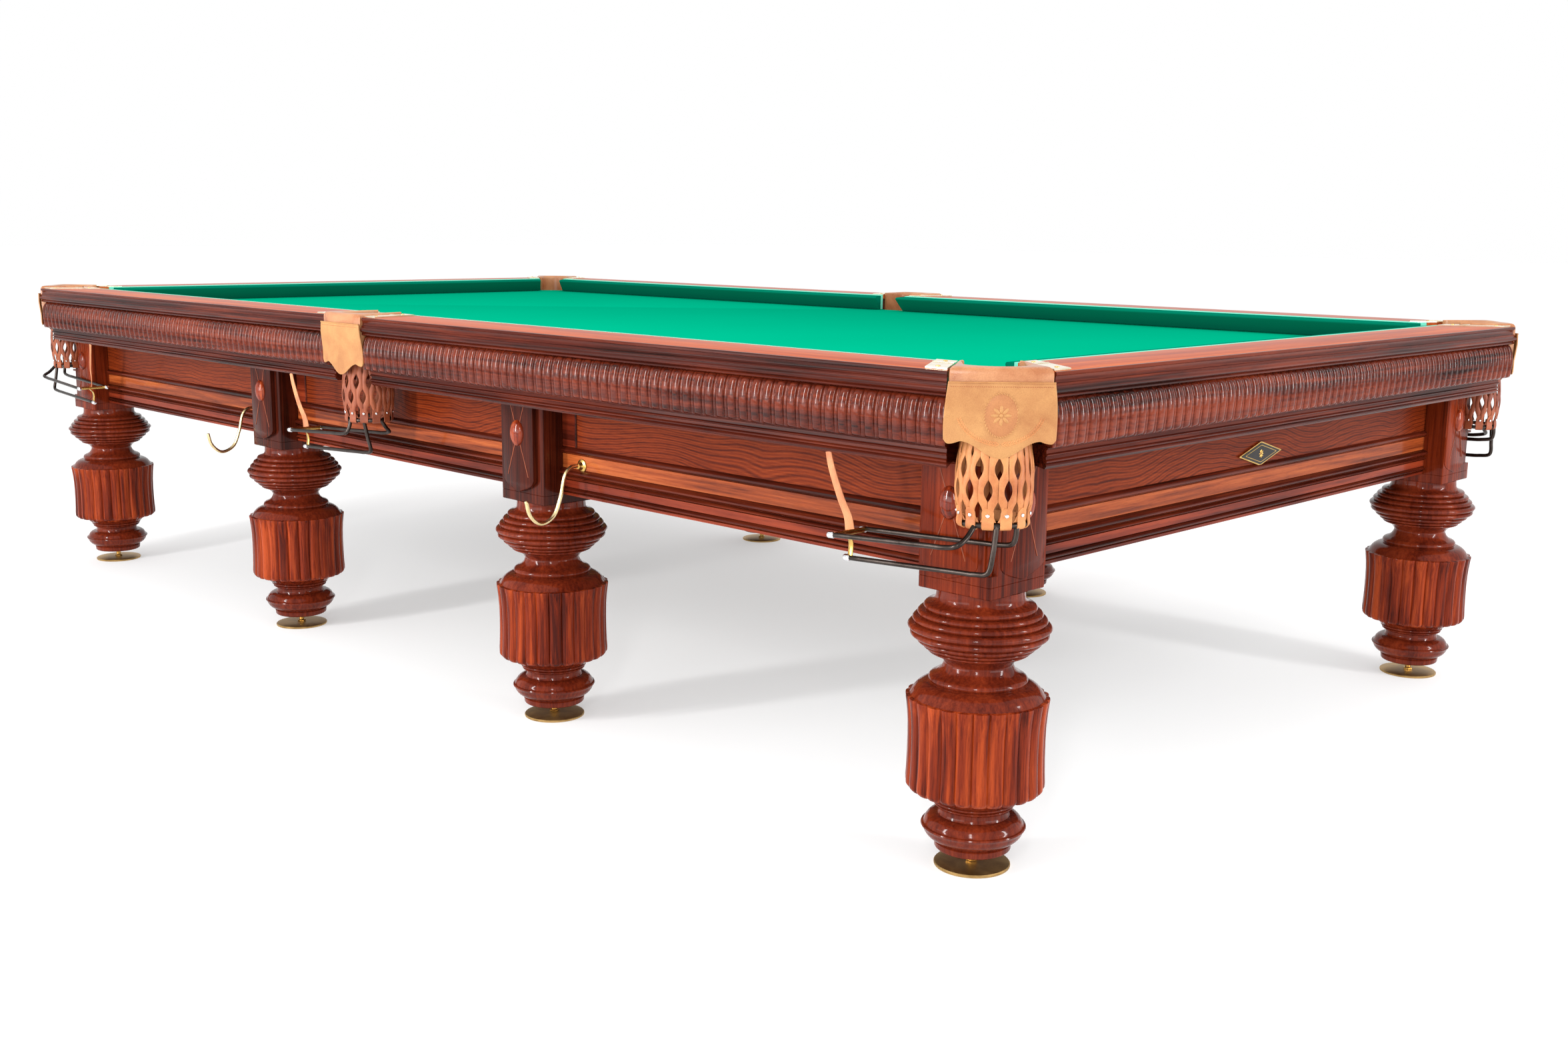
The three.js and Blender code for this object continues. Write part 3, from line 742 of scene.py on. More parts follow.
def apron(side, half, bays):
    """A veneered board with mouldings in each bay; a bay also says which of its ends has a stile."""
    woods = WOODS[SIDES[side][2]]
    board = [(FACE - BOARD, APRON_BOTTOM), (FACE - 1, APRON_BOTTOM), (FACE, APRON_BOTTOM + 1),
             (FACE, APRON_TOP), (FACE - BOARD, APRON_TOP)]
    parts = [moulding("board", board, level(-half), level(half), woods["veneer"])]
    for x0, x1, stile_low, stile_high in bays:
        low, high = x0 + BAY_GAP, x1 - BAY_GAP
        for section, kind in ((PANEL_BEAD, "dark"), (HOOK_STRIP, "strip"), (BIG_BEAD, "dark"),
                              (SMALL_BEAD, "dark"), (BAND, "band"), (LOW_BEAD, "dark"), (LIP, "band")):
            parts.append(moulding("strip", section, level(low), level(high), woods[kind], 40))
        for edge, wanted, inward in ((low, stile_low, 1), (high, stile_high, -1)):
            if not wanted:
                continue
            ends = sorted((edge, edge + inward * STILE))
            plate = [(FACE + HAIR, STILE_LOW), (FACE + HAIR, STILE_HIGH),
                     (FACE + 1.6, STILE_HIGH), (FACE + 1.6, STILE_LOW)]
            parts.append(moulding("stile", plate, level(ends[0]), level(ends[1]), woods["band"]))
            x = edge + inward * (STILE + 2.8)
            rod = [(x + 2.6 * math.cos(a), FACE + HAIR + 3.6 * math.sin(a))
                   for a in np.linspace(0, math.pi, 8)]
            parts.append(prism("bead", rod, STILE_LOW, STILE_HIGH, woods["dark"]))
    board = move(join(f"moulded_apron_{side}", parts), side_matrix(side))
    settle(board, "apron_wood", f"apron_{side}")


outer_edge, inner_edge = MIDDLE_LEG_X + BLOCK_HALF, MIDDLE_LEG_X - BLOCK_HALF
corner_edge_x, corner_edge_y = LEG_X - BLOCK_HALF, LEG_Y - BLOCK_HALF
LONG_BAYS = [
    (-corner_edge_x, -outer_edge, False, True),
    (-inner_edge, inner_edge, True, True),
    (outer_edge, corner_edge_x, True, False),
]
for long_side in ("front", "back"):
    apron(long_side, APRON_X, LONG_BAYS)
for short_side in ("left", "right"):
    apron(short_side, APRON_Y - BOARD - 0.3, [(-corner_edge_y, corner_edge_y, False, False)])


# ---- legs and feet
BORE = 7.8
REEDS = 26
REED_DEPTH = 6.4
REED_LOW, REED_TOP = 132.0, 314.5
DRUM_LOW, DRUM_TOP = 138.0, 315.0
CORNER_PANEL = {"centre": -12, "half": 62, "thickness": 2.2, "proud": 12, "finish": block_wood}
# The middle panel uses the darker copy of the block wood, as painted shade.
MIDDLE_PANEL = {"centre": 0, "half": 54, "thickness": 12, "proud": 13, "finish": shaded_block_wood}
PANEL_TOP, PANEL_SHOULDER, PANEL_TIP = 728.6, 560.0, 530.0
HEART = 661.0
LINE_SLOPE = 0.39
SEGMENTS_PER_REED = 8
DISC_PROFILE = [(0, 0), (64, 0), (67.4, 0.8), (68, 2.4), (68, 4.6), (66.6, 6), (57, 7.6), (34, 8), (24, 8.2),
                (0, 8.2)]
NUT_PROFILE = [(0, 8.3), (10, 8.3), (11, 8.9), (11, 11.6), (10, 12.4), (0, 12.4)]
THREAD_LOW, THREAD_TOP, THREAD_PITCH = 12.6, 79.6, 2.2
THREAD = [(6.7 if k % 2 == 0 else 7.4, THREAD_LOW + THREAD_PITCH / 2 * k) for k in range(60)]
STUD_PROFILE = [(0, THREAD_LOW), *THREAD, (0, THREAD_TOP)]


def bead(radius, low, high, bulge):
    """A rounded ring on a turned leg, between two levels."""
    return arc((radius, low), (radius, high), -bulge, 6)


LEG_PROFILE = [
    (0, 108), (BORE, 108), (BORE, 33), (60, 33), *arc((64, 33.4), (68, 40), -1.6, 4), (69, 46), (66, 49),
    *arc((66, 50), (90, 73), -5, 8), (92, 74.4), (93, 76.5), (92, 78.6), (89, 79.4),
    *arc((88, 80), (64, 98), -6, 8), (62, 102), (61.4, 107), (62.4, 111), (67, 113),
    *bead(68, 113.6, 118.4, 2.6), (68.6, 119), *bead(71, 119.6, 126.4, 3), (74, 127),
    *arc((77, 127.6), (116, 146), 5, 10), (120, 150), (122.4, 154), (122.6, 162), (121.6, 180), (120.8, 205),
    (120.5, 235), (121, 262), (122.6, 285), (124.6, 302), (126, 311.5), (125.6, 314), (118.4, 315),
    (117.6, 316),
    *arc((116.4, 317.4), (84, 338), -6, 8), *bead(83.4, 338.6, 350.4, 3.2), (82.4, 351),
    *arc((80, 352.4), (60.6, 372), 4, 8), *arc((60.6, 374), (82, 391), 3, 6),
    (84.6, 391.4), *bead(86, 392, 398, 3.4), (91, 398.6), *bead(94, 399.2, 407, 4), (101, 407.6),
    *bead(104, 408, 418, 4.6), (112, 418.4), *bead(115, 418.8, 431.6, 5.6), (121.6, 432),
    *bead(120.6, 432.6, 444.6, 4.6), (117, 445), *bead(113.4, 445.6, 456, 3.8), (110, 456.4),
    *bead(105, 457, 467, 3.6), (101, 467.4), *bead(94.6, 468, 479, 3.6), (91, 479.6),
    *arc((88, 481), (77, 496), 4, 6), (76.4, 500), (76.8, 505.8), (0, 505.8),
]


def reeds(angle, height):
    """Cuts the reeds into the drum, and eases their lower ends."""
    across = 2 * ((angle * REEDS / (2 * math.pi)) % 1.0) - 1
    round_section = np.sqrt(np.clip(1 - 0.985 * across ** 2, 0, 1))
    window = np.sqrt(np.clip((height - REED_LOW) / 16, 0, 1)) * (height < REED_TOP)
    return -REED_DEPTH * (1 - round_section) * window


def fine_profile(profile, longest=9.0):
    """Adds points where the leg is wide, so that no step up the drum is long."""
    out = [profile[0]]
    for a, b in zip(profile[:-1], profile[1:]):
        steps = max(1, math.ceil((abs(b[1] - a[1])) / longest)) if a[0] > 110 and b[0] > 110 else 1
        for k in range(1, steps + 1):
            out.append((a[0] + (b[0] - a[0]) * k / steps, a[1] + (b[1] - a[1]) * k / steps))
    return out


def plain_turning(piece, finish):
    """Gives a turned leg's faces above and below its drum a quieter finish."""
    piece.data.materials.append(finish)
    for face in piece.data.polygons:
        if not DRUM_LOW < face.center.z / MM < DRUM_TOP:
            face.material_index = 1


def rounded(outline, radius, steps=4):
    """An outline in plan with its corners rounded."""
    outline = [np.array(point, float) for point in outline]
    out = []
    for k, here in enumerate(outline):
        before, after = outline[k - 1], outline[(k + 1) % len(outline)]
        reach = min(radius, 0.45 * np.linalg.norm(before - here), 0.45 * np.linalg.norm(after - here))
        a = here + reach * (before - here) / np.linalg.norm(before - here)
        b = here + reach * (after - here) / np.linalg.norm(after - here)
        for t in np.linspace(0, 1, steps):
            out.append((1 - t) ** 2 * a + 2 * t * (1 - t) * here + t ** 2 * b)
    return np.array(out)


def eased_prism(name, outline, low, high, finish, ease=1.2):
    """An upright prism with a small chamfer round its two ends."""
    outline = np.asarray(outline, float)
    middle = outline.mean(0)
    rings = []
    for z, share in ((low, 1), (low + ease, 0), (high - ease, 0), (high, 1)):
        away = outline - middle
        inset = outline - share * ease * away / np.maximum(np.abs(away).max(), 1)
        rings.append(np.column_stack([inset, np.full(len(outline), z)]))
    return loft(name, rings, finish)


def shield_outline(half, steps=12):
    """A panel with straight sides and a bottom that swells to a soft point."""
    right = [(half, PANEL_TOP), (half, PANEL_SHOULDER)]
    for k in range(1, steps):
        t = k / steps
        right.append((half * (1 - t) ** 0.85 * (1 + 0.18 * math.sin(math.pi * t)),
                      PANEL_SHOULDER - (PANEL_SHOULDER - PANEL_TIP) * t ** 0.75))
    right.append((0, PANEL_TIP))
    return both_halves(right)


def face_panel(centre, half, thickness, proud, finish):
    """The applied shield, its crossed lines and its cabochon, on a block's outer face."""
    def upright(points, depth):
        """Points of the face, as [x, z], stood at a depth in front of the block."""
        x, z = np.asarray(points, float).T
        return np.stack([centre + x, np.full(len(x), BLOCK_HALF + depth), z], -1)

    outline = shield_outline(half)
    inner = [(x * (half - 1.6) / half, min(z, PANEL_TOP - 1.2) if z > 600 else z + 1.2) for x, z in outline]
    rings = [upright(outline, 0.05), upright(outline, thickness - 1.2), upright(inner, thickness)]
    parts = [loft("shield", rings, finish)]
    for sign in (-1, 1):
        for levels in ((HEART - 20, 566), (HEART + 22, 727)):
            ends = np.array([[sign * LINE_SLOPE * (HEART - z), z] for z in levels])
            ends[:, 0] = np.clip(ends[:, 0], -half + 2, half - 2)
            across = np.array([0.9, 0.35 * sign])
            line = [ends[0] + across, ends[1] + across, ends[1] - across, ends[0] - across]
            rings = [upright(line, thickness + 0.02), upright(line, thickness + 0.5)]
            parts.append(loft("line", rings, line_wood))
    rings = []
    for a in np.linspace(0, 1.5, 9):
        share = math.cos(a)
        oval = [(21 * share * math.cos(b), HEART + 29 * share * math.sin(b)) for b in turns(36)]
        rings.append(upright(oval, thickness + 0.05 + proud * math.sin(a)))
    parts.append(loft("cabochon", rings, cabochon_wood, 60))
    return parts


def middle_block():
    """A middle leg's block: whole below the apron, and only outside it above."""
    half, inside = BLOCK_HALF, BLOCK_HALF - BLOCK_PROUD + 0.3
    low = rounded([(-half, -half), (half, -half), (half, half), (-half, half)], 2.5)
    high = rounded([(-half, inside), (half, inside), (half, half), (-half, half)], 2.5)
    return [
        # The middle block takes the darker copy of the block wood, as painted shade.
        eased_prism("block_foot", low, BLOCK_BOTTOM, APRON_BOTTOM - 0.4, shaded_block_wood),
        prism("block_post", high, APRON_BOTTOM - 0.4, BLOCK_TOP, shaded_block_wood),
        *face_panel(**MIDDLE_PANEL),
    ]


def reeded_corner(half, cut):
    """Three upright half-round reeds across a block's outer corner, from one face to the other."""
    a, b = np.array([half, half - cut]), np.array([half - cut, half])
    out = np.array([1, 1]) / math.sqrt(2)
    points = []
    for k in range(3):
        for t in np.linspace(0, 1, 7)[:-1]:
            share = (k + t) / 3
            points.append(a + (b - a) * share + out * 4.2 * math.sin(math.pi * t))
    return [*points, b]


def corner_block():
    """A corner leg's block: an angle round the aprons, reeded and cut back at its outer corner."""
    half, inside = BLOCK_HALF, BLOCK_HALF - BLOCK_PROUD + 0.3
    cut_sum = 85.4  # x + y along the upper post's cut corner
    reeds_low, net_floor = 546.0, 628.0
    angle_plan = [(-half, inside), (inside, inside), (inside, -half), (half, -half)]
    square = rounded([(-half, -half), (half, -half), (half, half), (-half, half)], 2.5)
    plain = rounded([*angle_plan, (half, half), (-half, half)], 2.5)
    carved = [*angle_plan, *reeded_corner(half, 26), (-half, half)]
    cut = rounded([*angle_plan, (half, cut_sum - half), (cut_sum - half, half), (-half, half)], 2)
    swap_x_and_y = Matrix(((0, 1, 0, 0), (1, 0, 0, 0), (0, 0, 1, 0), (0, 0, 0, 1)))
    side_panel = [move(piece, swap_x_and_y) for piece in face_panel(**CORNER_PANEL)]
    return [
        eased_prism("block_foot", square, BLOCK_BOTTOM, APRON_BOTTOM - 0.4, block_wood),
        prism("block_low", plain, APRON_BOTTOM - 0.4, reeds_low, block_wood),
        prism("block_reeds", carved, reeds_low, net_floor - 5, block_wood),
        prism("block_shelf", plain, net_floor - 5, net_floor, block_wood),
        prism("block_post", cut, net_floor, BLOCK_TOP, block_wood),
        *face_panel(**CORNER_PANEL),
        *side_panel,
    ]


def leg_and_foot(row, row_sign, place, leg_x, outward):
    """A turned leg and the levelling foot under it; outward is 0 for a middle leg."""
    baluster = lathe("baluster", fine_profile(LEG_PROFILE), REEDS * SEGMENTS_PER_REED, leg_wood, reeds, 42)
    plain_turning(baluster, turned_wood)
    blocks = corner_block() if outward else middle_block()
    leg = join(f"turned_leg_{row}_{place}", [baluster, *blocks])
    turn = Matrix.Diagonal((outward or 1, row_sign, 1, 1))
    shift = Matrix.Translation((leg_x * MM, row_sign * LEG_Y * MM, 0))
    settle(move(leg, shift @ turn), "leg_wood", f"leg_{row}_{place}")

    foot_parts = [
        lathe("disc", DISC_PROFILE, 72, bronze),
        lathe("collar", NUT_PROFILE, 6, brass),
        lathe("stud", STUD_PROFILE, 28, brass, sharp=80),
    ]
    foot = move(join(f"levelling_foot_{row}_{place}", foot_parts), shift)
    node = f"foot_{row}_{place}"
    settle(foot, "foot_brass", node, body=node)


LEG_PLACES = [
    ("right", LEG_X, 1),
    ("middle_right", MIDDLE_LEG_X, 0),
    ("middle_left", -MIDDLE_LEG_X, 0),
    ("left", -LEG_X, -1),
]
for row, row_sign in (("front", -1), ("back", 1)):
    for leg_place in LEG_PLACES:
        leg_and_foot(row, row_sign, *leg_place)


# ---- pockets
CORNER = {"depth": CORNER_DEPTH, "mouth": CORNER_MOUTH / 2, "outer": CORNER_CUT / math.sqrt(2),
          "net_depth": 104.0, "net_middle": CORNER_DEPTH + SHIELD_PROUD - 52}
MIDDLE = {"depth": RAIL_WIDTH, "mouth": MIDDLE_JAW, "outer": MIDDLE_GAP,
          "net_depth": 120.0, "net_middle": RAIL_WIDTH - 8 - 60}
HOLE_RADIUS = 52.0
HOLE_BEHIND = 20.0
THROAT = 62.0
ROLL_ROUND, ROLL_CORNER = 12.0, 6.0
ROLL_INSET = 3.6
LINING_FOOT = 792.0
LEATHER_CLEAR = 0.8
POCKETS = [
    ("front_right", CORNER, 1, -1, -1),
    ("front_middle", MIDDLE, 0, -1, -1),
    ("front_left", CORNER, -1, -1, 1),
    ("back_right", CORNER, 1, 1, -1),
    ("back_middle", MIDDLE, 0, 1, -1),
    ("back_left", CORNER, -1, 1, 1),
]


def wedge(kind, out):
    """Half the leather's width between the rail ends, at a distance out from the nose."""
    return kind["mouth"] + (kind["outer"] - kind["mouth"]) * out / kind["depth"] - LEATHER_CLEAR


def leather_roll(kind):
    """The padded rim round the hole, open towards the bed."""
    depth = kind["depth"]
    middle = depth - HOLE_RADIUS - HOLE_BEHIND
    front = depth + SHIELD_PROUD - ROLL_INSET
    inner, outer = [], []
    for out in np.linspace(THROAT, middle, 8)[:-1]:
        inner.append((min(HOLE_RADIUS, wedge(kind, THROAT) - 7 + (out - THROAT) * 0.9), out))
        outer.append((wedge(kind, out), out))
    for a in np.linspace(0, math.pi / 2, 15):
        inner.append((HOLE_RADIUS * math.cos(a), middle + HOLE_RADIUS * math.sin(a)))
    corner = wedge(kind, front) - 5
    for k in range(15):
        t = k / 14
        if t < 0.5:
            out = middle + (front - ROLL_CORNER - middle) * t / 0.5
            outer.append((min(wedge(kind, out), corner), out))
        else:
            s = (t - 0.5) / 0.5
            outer.append((corner * (1 - s) ** 0.9, front - ROLL_CORNER * (1 - s) ** 3))
    rings = []
    for start, end in zip(np.array(both_halves(inner)), np.array(both_halves(outer))):
        width = np.linalg.norm(end - start)
        step = (end - start) / width
        edge = min(ROLL_ROUND, width / 2.1)
        ring = [(0, LINING_FOOT), (0, LEATHER_TOP - edge)]
        ring += [(edge * (1 - math.cos(a)), LEATHER_TOP - edge * (1 - math.sin(a)))
                 for a in np.linspace(0.25, math.pi / 2, 5)]
        ring += [(width - edge * (1 - math.sin(a)), LEATHER_TOP - edge * (1 - math.cos(a)))
                 for a in np.linspace(0, math.pi / 2 - 0.25, 5)]
        ring += [(width, LEATHER_TOP - edge), (width, LINING_FOOT)]
        rings.append([[*(start + step * s), z] for s, z in ring])
    return loft("roll", rings, roll_leather, 50)


SHIELD_TOP, SHIELD_FOOT = 874.0, 777.0
SHIELD_HALF, SHIELD_TOP_HALF = 91.0, 85.5
SHIELD_TIP, SHIELD_NOTCH = 752.3, 780.3
LOBE = 0.72


def shield_half(z):
    """Half the shield's width: widest a little below the middle."""
    drop = (SHIELD_TOP - z) / (SHIELD_TOP - SHIELD_FOOT)
    return SHIELD_TOP_HALF + (SHIELD_HALF - SHIELD_TOP_HALF) * math.sin(min(max(drop, 0), 1) * 2.2)


def shield_foot(share):
    """The shield's lower edge: a lobe between two notches, and rounded outer corners."""
    share = abs(share)
    if share <= LOBE:
        return SHIELD_TIP + (SHIELD_NOTCH - SHIELD_TIP) * (1 - math.cos(math.pi * share / LOBE)) / 2
    beyond = (share - LOBE) / (1 - LOBE)
    dip = SHIELD_NOTCH - 4.6 * math.sin(math.pi / 2 * min(beyond / 0.7, 1))
    if beyond > 0.7:
        dip += 7 * ((beyond - 0.7) / 0.3) ** 2.2
    return dip


def shield_front(kind, x, z):
    """How far out the shield's face is."""
    side = (abs(x) / SHIELD_HALF) ** 2
    low = min(max((850 - z) / 40, 0), 1)
    return kind["depth"] + SHIELD_PROUD - 2.3 * side - 4.5 * side * low - 1.2 * low


def leather_shield(kind):
    """The stiff outer shield: a front and a back skin, with a rim between them."""
    columns = np.sin(np.linspace(-math.pi / 2, math.pi / 2, 57))
    rows = np.linspace(0, 1, 26)
    front, back = [], []
    for t in rows:
        front_row, back_row = [], []
        for share in columns:
            foot = shield_foot(share)
            z = SHIELD_TOP - t * (SHIELD_TOP - foot)
            x = share * shield_half(z)
            y = shield_front(kind, x, z)
            edge = min(t, 1 - t) * (SHIELD_TOP - foot)
            edge = min(edge, (1 - abs(share)) * SHIELD_HALF)
            ease = 0.9 * max(0, 1 - edge / 1.6) ** 2
            front_row.append((x, y - ease, z))
            back_row.append((x, y - 2.9, z))
        front.append(front_row)
        back.append(back_row)
    front, back = np.array(front), np.array(back)
    across = len(columns)
    count = len(rows) * across
    verts = np.vstack([front.reshape(-1, 3), back.reshape(-1, 3)])
    faces = grid_faces(len(rows), across)
    faces += [tuple(count + k for k in face[::-1]) for face in grid_faces(len(rows), across)]
    rim = [*range(across), *[r * across + across - 1 for r in range(1, len(rows))],
           *range(count - 2, count - across - 1, -1), *[r * across for r in range(len(rows) - 2, 0, -1)]]
    for a, b in zip(rim, rim[1:] + rim[:1]):
        faces.append((a, b, count + b, count + a))
    return mesh_object("shield", verts, faces, shield_leather, 60)


def dome(kind, centre, long_half, short_half, angle, height, finish):
    """A low leaf-shaped swelling on the shield."""
    along = long_half * np.array([math.cos(angle), math.sin(angle)])
    across = short_half * np.array([-math.sin(angle), math.cos(angle)])
    rings = []
    for share, up in ((1, -0.3), (0.86, 0.55), (0.5, 0.9), (0.12, 1)):
        ring = []
        for a in turns(10):
            x, z = np.array(centre) + share * (math.cos(a) * along + math.sin(a) * across)
            ring.append((x, shield_front(kind, x, z) + height * up, z))
        rings.append(ring)
    return loft("dome", rings, finish, 70)


def top_ridge(kind):
    """A rounded cord along the shield's upper edge."""
    path = []
    for share in np.linspace(-1, 1, 25):
        x = share * SHIELD_TOP_HALF
        path.append((0.995 * x, shield_front(kind, x, SHIELD_TOP) - 0.7, SHIELD_TOP + 0.2))
    return tube("ridge", path, 1.5, shield_leather, 8)


STITCHES, STITCH_GAP, STITCH_LEVEL = 47, 3.5, 867.6


def stitches(kind):
    """A row of stitches under the shield's upper edge."""
    places = [((k - STITCHES // 2) * STITCH_GAP, STITCH_LEVEL) for k in range(STITCHES)]
    return [dome(kind, place, 1.15, 0.5, 0.0, 0.4, stitch_thread) for place in places]


CREST_MIDDLE = 822.0
SPRAY_MIDDLE = 834.0
SPRAY_LEAVES = 19


def crest_border(angle):
    """A point of the ornament's oval, as [x, level]."""
    return 27 * math.cos(angle), CREST_MIDDLE + 35 * math.sin(angle)


def ornament(kind):
    """A generic pressed ornament: a rosette in a rope oval, over two sprays of leaves."""
    rings = []
    for share, up in ((1, 0.05), (0.98, 0.35), (0.5, 0.35), (0.05, 0.35)):
        ring = []
        for a in turns(48):
            border_x, border_z = crest_border(a)
            x, z = share * border_x, CREST_MIDDLE + share * (border_z - CREST_MIDDLE)
            ring.append((x, shield_front(kind, x, z) + up, z))
        rings.append(ring)
    made = [loft("field", rings, field_leather, 60)]
    for a in turns(40):
        made.append(dome(kind, crest_border(a), 3.2, 1.3, a + math.pi / 2 + 0.7, 1.0, shield_leather))
    for a in turns(8):
        spot = (10 * math.cos(a), CREST_MIDDLE + 10 * math.sin(a))
        made.append(dome(kind, spot, 7.4, 3.2, a, 1.5, shield_leather))
    made.append(dome(kind, (0, CREST_MIDDLE), 3.6, 3.6, 0, 2.1, shield_leather))
    for sign in (-1, 1):
        for t in np.linspace(0, 1, SPRAY_LEAVES):
            a = -math.pi / 2 + sign * (0.06 + 1.18 * t)
            x, z = 70 * math.cos(a), SPRAY_MIDDLE + 58 * math.sin(a)
            heading = a + sign * math.pi / 2
            for lean in (0.5, -0.5):
                to_leaf = heading + 2.2 * lean
                spot = (x + 2.2 * math.cos(to_leaf), z + 2.2 * math.sin(to_leaf))
                made.append(dome(kind, spot, 4.6 - 1.4 * t, 1.1, heading + lean, 0.75, leaf_leather))
    return made


PLATE = [(54, 892.2), (181, 892.2), (181, 893.8), (179.6, 894.8), (55.4, 894.8), (54, 893.8)]
PLATE_RIDGE = [(100, 895), (103, 895), (102.6, 896), (100.4, 896)]
PLATE_START, PLATE_WIDTH = 1.0, 46.0
SCREW_PROFILE = [(0, 894.7), (4.2, 894.7), (4.2, 895.4), (2.6, 896.2), (0, 896.4)]


def pocket_plates(kind, name, x, y):
    """Polished plates on the rail tops, on both sides of a pocket."""
    if kind is MIDDLE:
        side = "front" if y < 0 else "back"
        ends = [(side, middle_jaw, 1), (side, mirrored(middle_jaw), -1)]
    else:
        long_side, short_side = ("front" if y < 0 else "back"), ("right" if x > 0 else "left")
        long_sign = x * (1 if y > 0 else -1)
        short_sign = -y * (1 if x > 0 else -1)
        ends = [
            (long_side, LONG_JAW if long_sign > 0 else mirrored(LONG_JAW), -long_sign),
            (short_side, SHORT_JAW if short_sign > 0 else mirrored(SHORT_JAW), -short_sign),
        ]
    made = []
    for side, jaw, inward in ends:
        place = side_matrix(side)
        near = shifted(jaw, inward * PLATE_START)
        far = shifted(jaw, inward * (PLATE_START + PLATE_WIDTH))
        for section in (PLATE, PLATE_RIDGE):
            made.append(move(moulding("plate", section, near, far, cream_brass), place))
        for out in (76, 160):
            along = jaw(out) + inward * (PLATE_START + PLATE_WIDTH / 2)
            spot = Matrix.Translation((along * MM, out * MM, 0))
            made.append(move(lathe("screw", SCREW_PROFILE, 16, brass), place @ spot))
    return join(f"pocket_plates_{name}", made)


# ---- nets
STRIPS = 24
SLIT_WIDTH = 13.0
SLIT_REPEAT = 72.0
SLIT_TOP = 772.0
NET_TURN_RADIUS = 58.0
NET_SHAPE = [
    (640, 52.5), (647, 54.5), (662, 59), (676, 62), (695, 63.6), (710, 63.8), (730, 62.6), (751, 60.5),
    (772, 57.5), (792, 55.5),
]
NET_DEPTH = 128.0
NET_LOW, NET_TOP = 648.0, 790.0
STRAP_SECTION = ((0, -0.3), (0.08, 0.7), (0.5, 1.1), (0.92, 0.7), (1, -0.3), (0.94, -1.3), (0.06, -1.3))
TAB_PATH = [(61.2, 672), (59.6, 662), (58.4, 652), (59.2, 645), (58.4, 638.6), (54, 636), (49.6, 638.6),
            (49.2, 645), (50.4, 654)]
TAB_SECTION = ((-0.5, 0), (-0.46, 1.2), (0.46, 1.2), (0.5, 0), (0.46, -1.1), (-0.46, -1.1))
TAB_WIDTH = 20.0
RIVET_RADIUS, RIVET_LEVEL = 3.2, 659.0


def net_radius(z):
    """The net's radius at a level, before its pocket squashes it."""
    return np.interp(z, [p[0] for p in NET_SHAPE], [p[1] for p in NET_SHAPE])


def net_point(kind, angle, radius, z):
    """A point of the net, which is an oval where its pocket is shallow."""
    squash = kind["net_depth"] / NET_DEPTH
    return np.array([radius * math.cos(angle), kind["net_middle"] + squash * radius * math.sin(angle), z])


def net_strap(kind, middle, sign, finish):
    """A strap that sways, up the net's side at an angle."""
    half = math.pi * NET_TURN_RADIUS / STRIPS - 0.12
    rings = []
    for z in np.linspace(NET_LOW, NET_TOP, 46):
        swing = sign * math.cos(2 * math.pi * (z - 664) / SLIT_REPEAT)
        swing *= min(1, max(0, (SLIT_TOP - z) / 20))
        right = half - SLIT_WIDTH / 2 * max(0, swing)
        left = -half + SLIT_WIDTH / 2 * max(0, -swing)
        radius = net_radius(z) + 0.9 * swing
        rings.append([
            net_point(kind, middle + (left + (right - left) * share) / NET_TURN_RADIUS, radius + proud, z)
            for share, proud in STRAP_SECTION
        ])
    return loft("strap", rings, finish, 55)


def net_tab(kind, middle, finish):
    """A tab that wraps the hoop, and the rivet that closes it."""
    path = smooth_path(TAB_PATH, 4)
    rings = []
    for i, ((radius, z), (away, up)) in enumerate(zip(path, tangents(path))):
        narrow = 1 - 0.5 * max(0, 1 - i / 4) ** 2
        rings.append([
            net_point(kind, middle + across * TAB_WIDTH * narrow / NET_TURN_RADIUS,
                      radius - up * depth, z + away * depth)
            for across, depth in TAB_SECTION
        ])
    tab = loft("tab", rings, finish, 55)
    rings = []
    for share, up in ((1, 0), (0.9, 0.9), (0.6, 1.6), (0.15, 1.9)):
        rings.append([
            net_point(kind, middle + RIVET_RADIUS * share * math.cos(a) / NET_TURN_RADIUS,
                      60.9 + up, RIVET_LEVEL + RIVET_RADIUS * share * math.sin(a))
            for a in turns(12)
        ])
    return [tab, loft("rivet", rings, chrome, 60)]


def leather_net(kind, finish):
    """Wavy straps that touch in turn and leave long diamond gaps, riveted over the hoop."""
    made = []
    for k in range(STRIPS):
        made.append(net_strap(kind, 2 * math.pi * (k + 0.5) / STRIPS, 1 if k % 2 else -1, finish))
    for k in range(STRIPS // 2):
        made += net_tab(kind, 2 * math.pi * (2 * k + 1) / STRIPS, finish)
    return made


# ---- ball racks
RACK_LENGTH = 281.0
HOOP_HALF = 54.0
CAP_RADIUS = ROD_RADIUS + 1.6
CAP_REACHES = (-7, -3.5, 0, 3)
BAR_BACK, BAR_WIDTH, BRACKET_WIDTH = 8.0, 9.0, 11.0
BRASS_THICK, STRAP_THICK = 2.2, 2.6
RACK_HALF = (153.0 - BLOCK_PROUD) / 2 - ROD_RADIUS - 3
RACK_LINE = HALF_WIDTH - 3 - ROD_RADIUS - RACK_HALF
SIDE_DROP, LOW_DROP, FALL = 33.0, 79.0, 18.0
STRAP_TOP = RAIL_BOTTOM - 0.2


RIBBON_SECTION = ((-1, -0.6), (-0.9, -1), (0.9, -1), (1, -0.6), (1, 0.6), (0.9, 1), (-0.9, 1), (-1, 0.6))


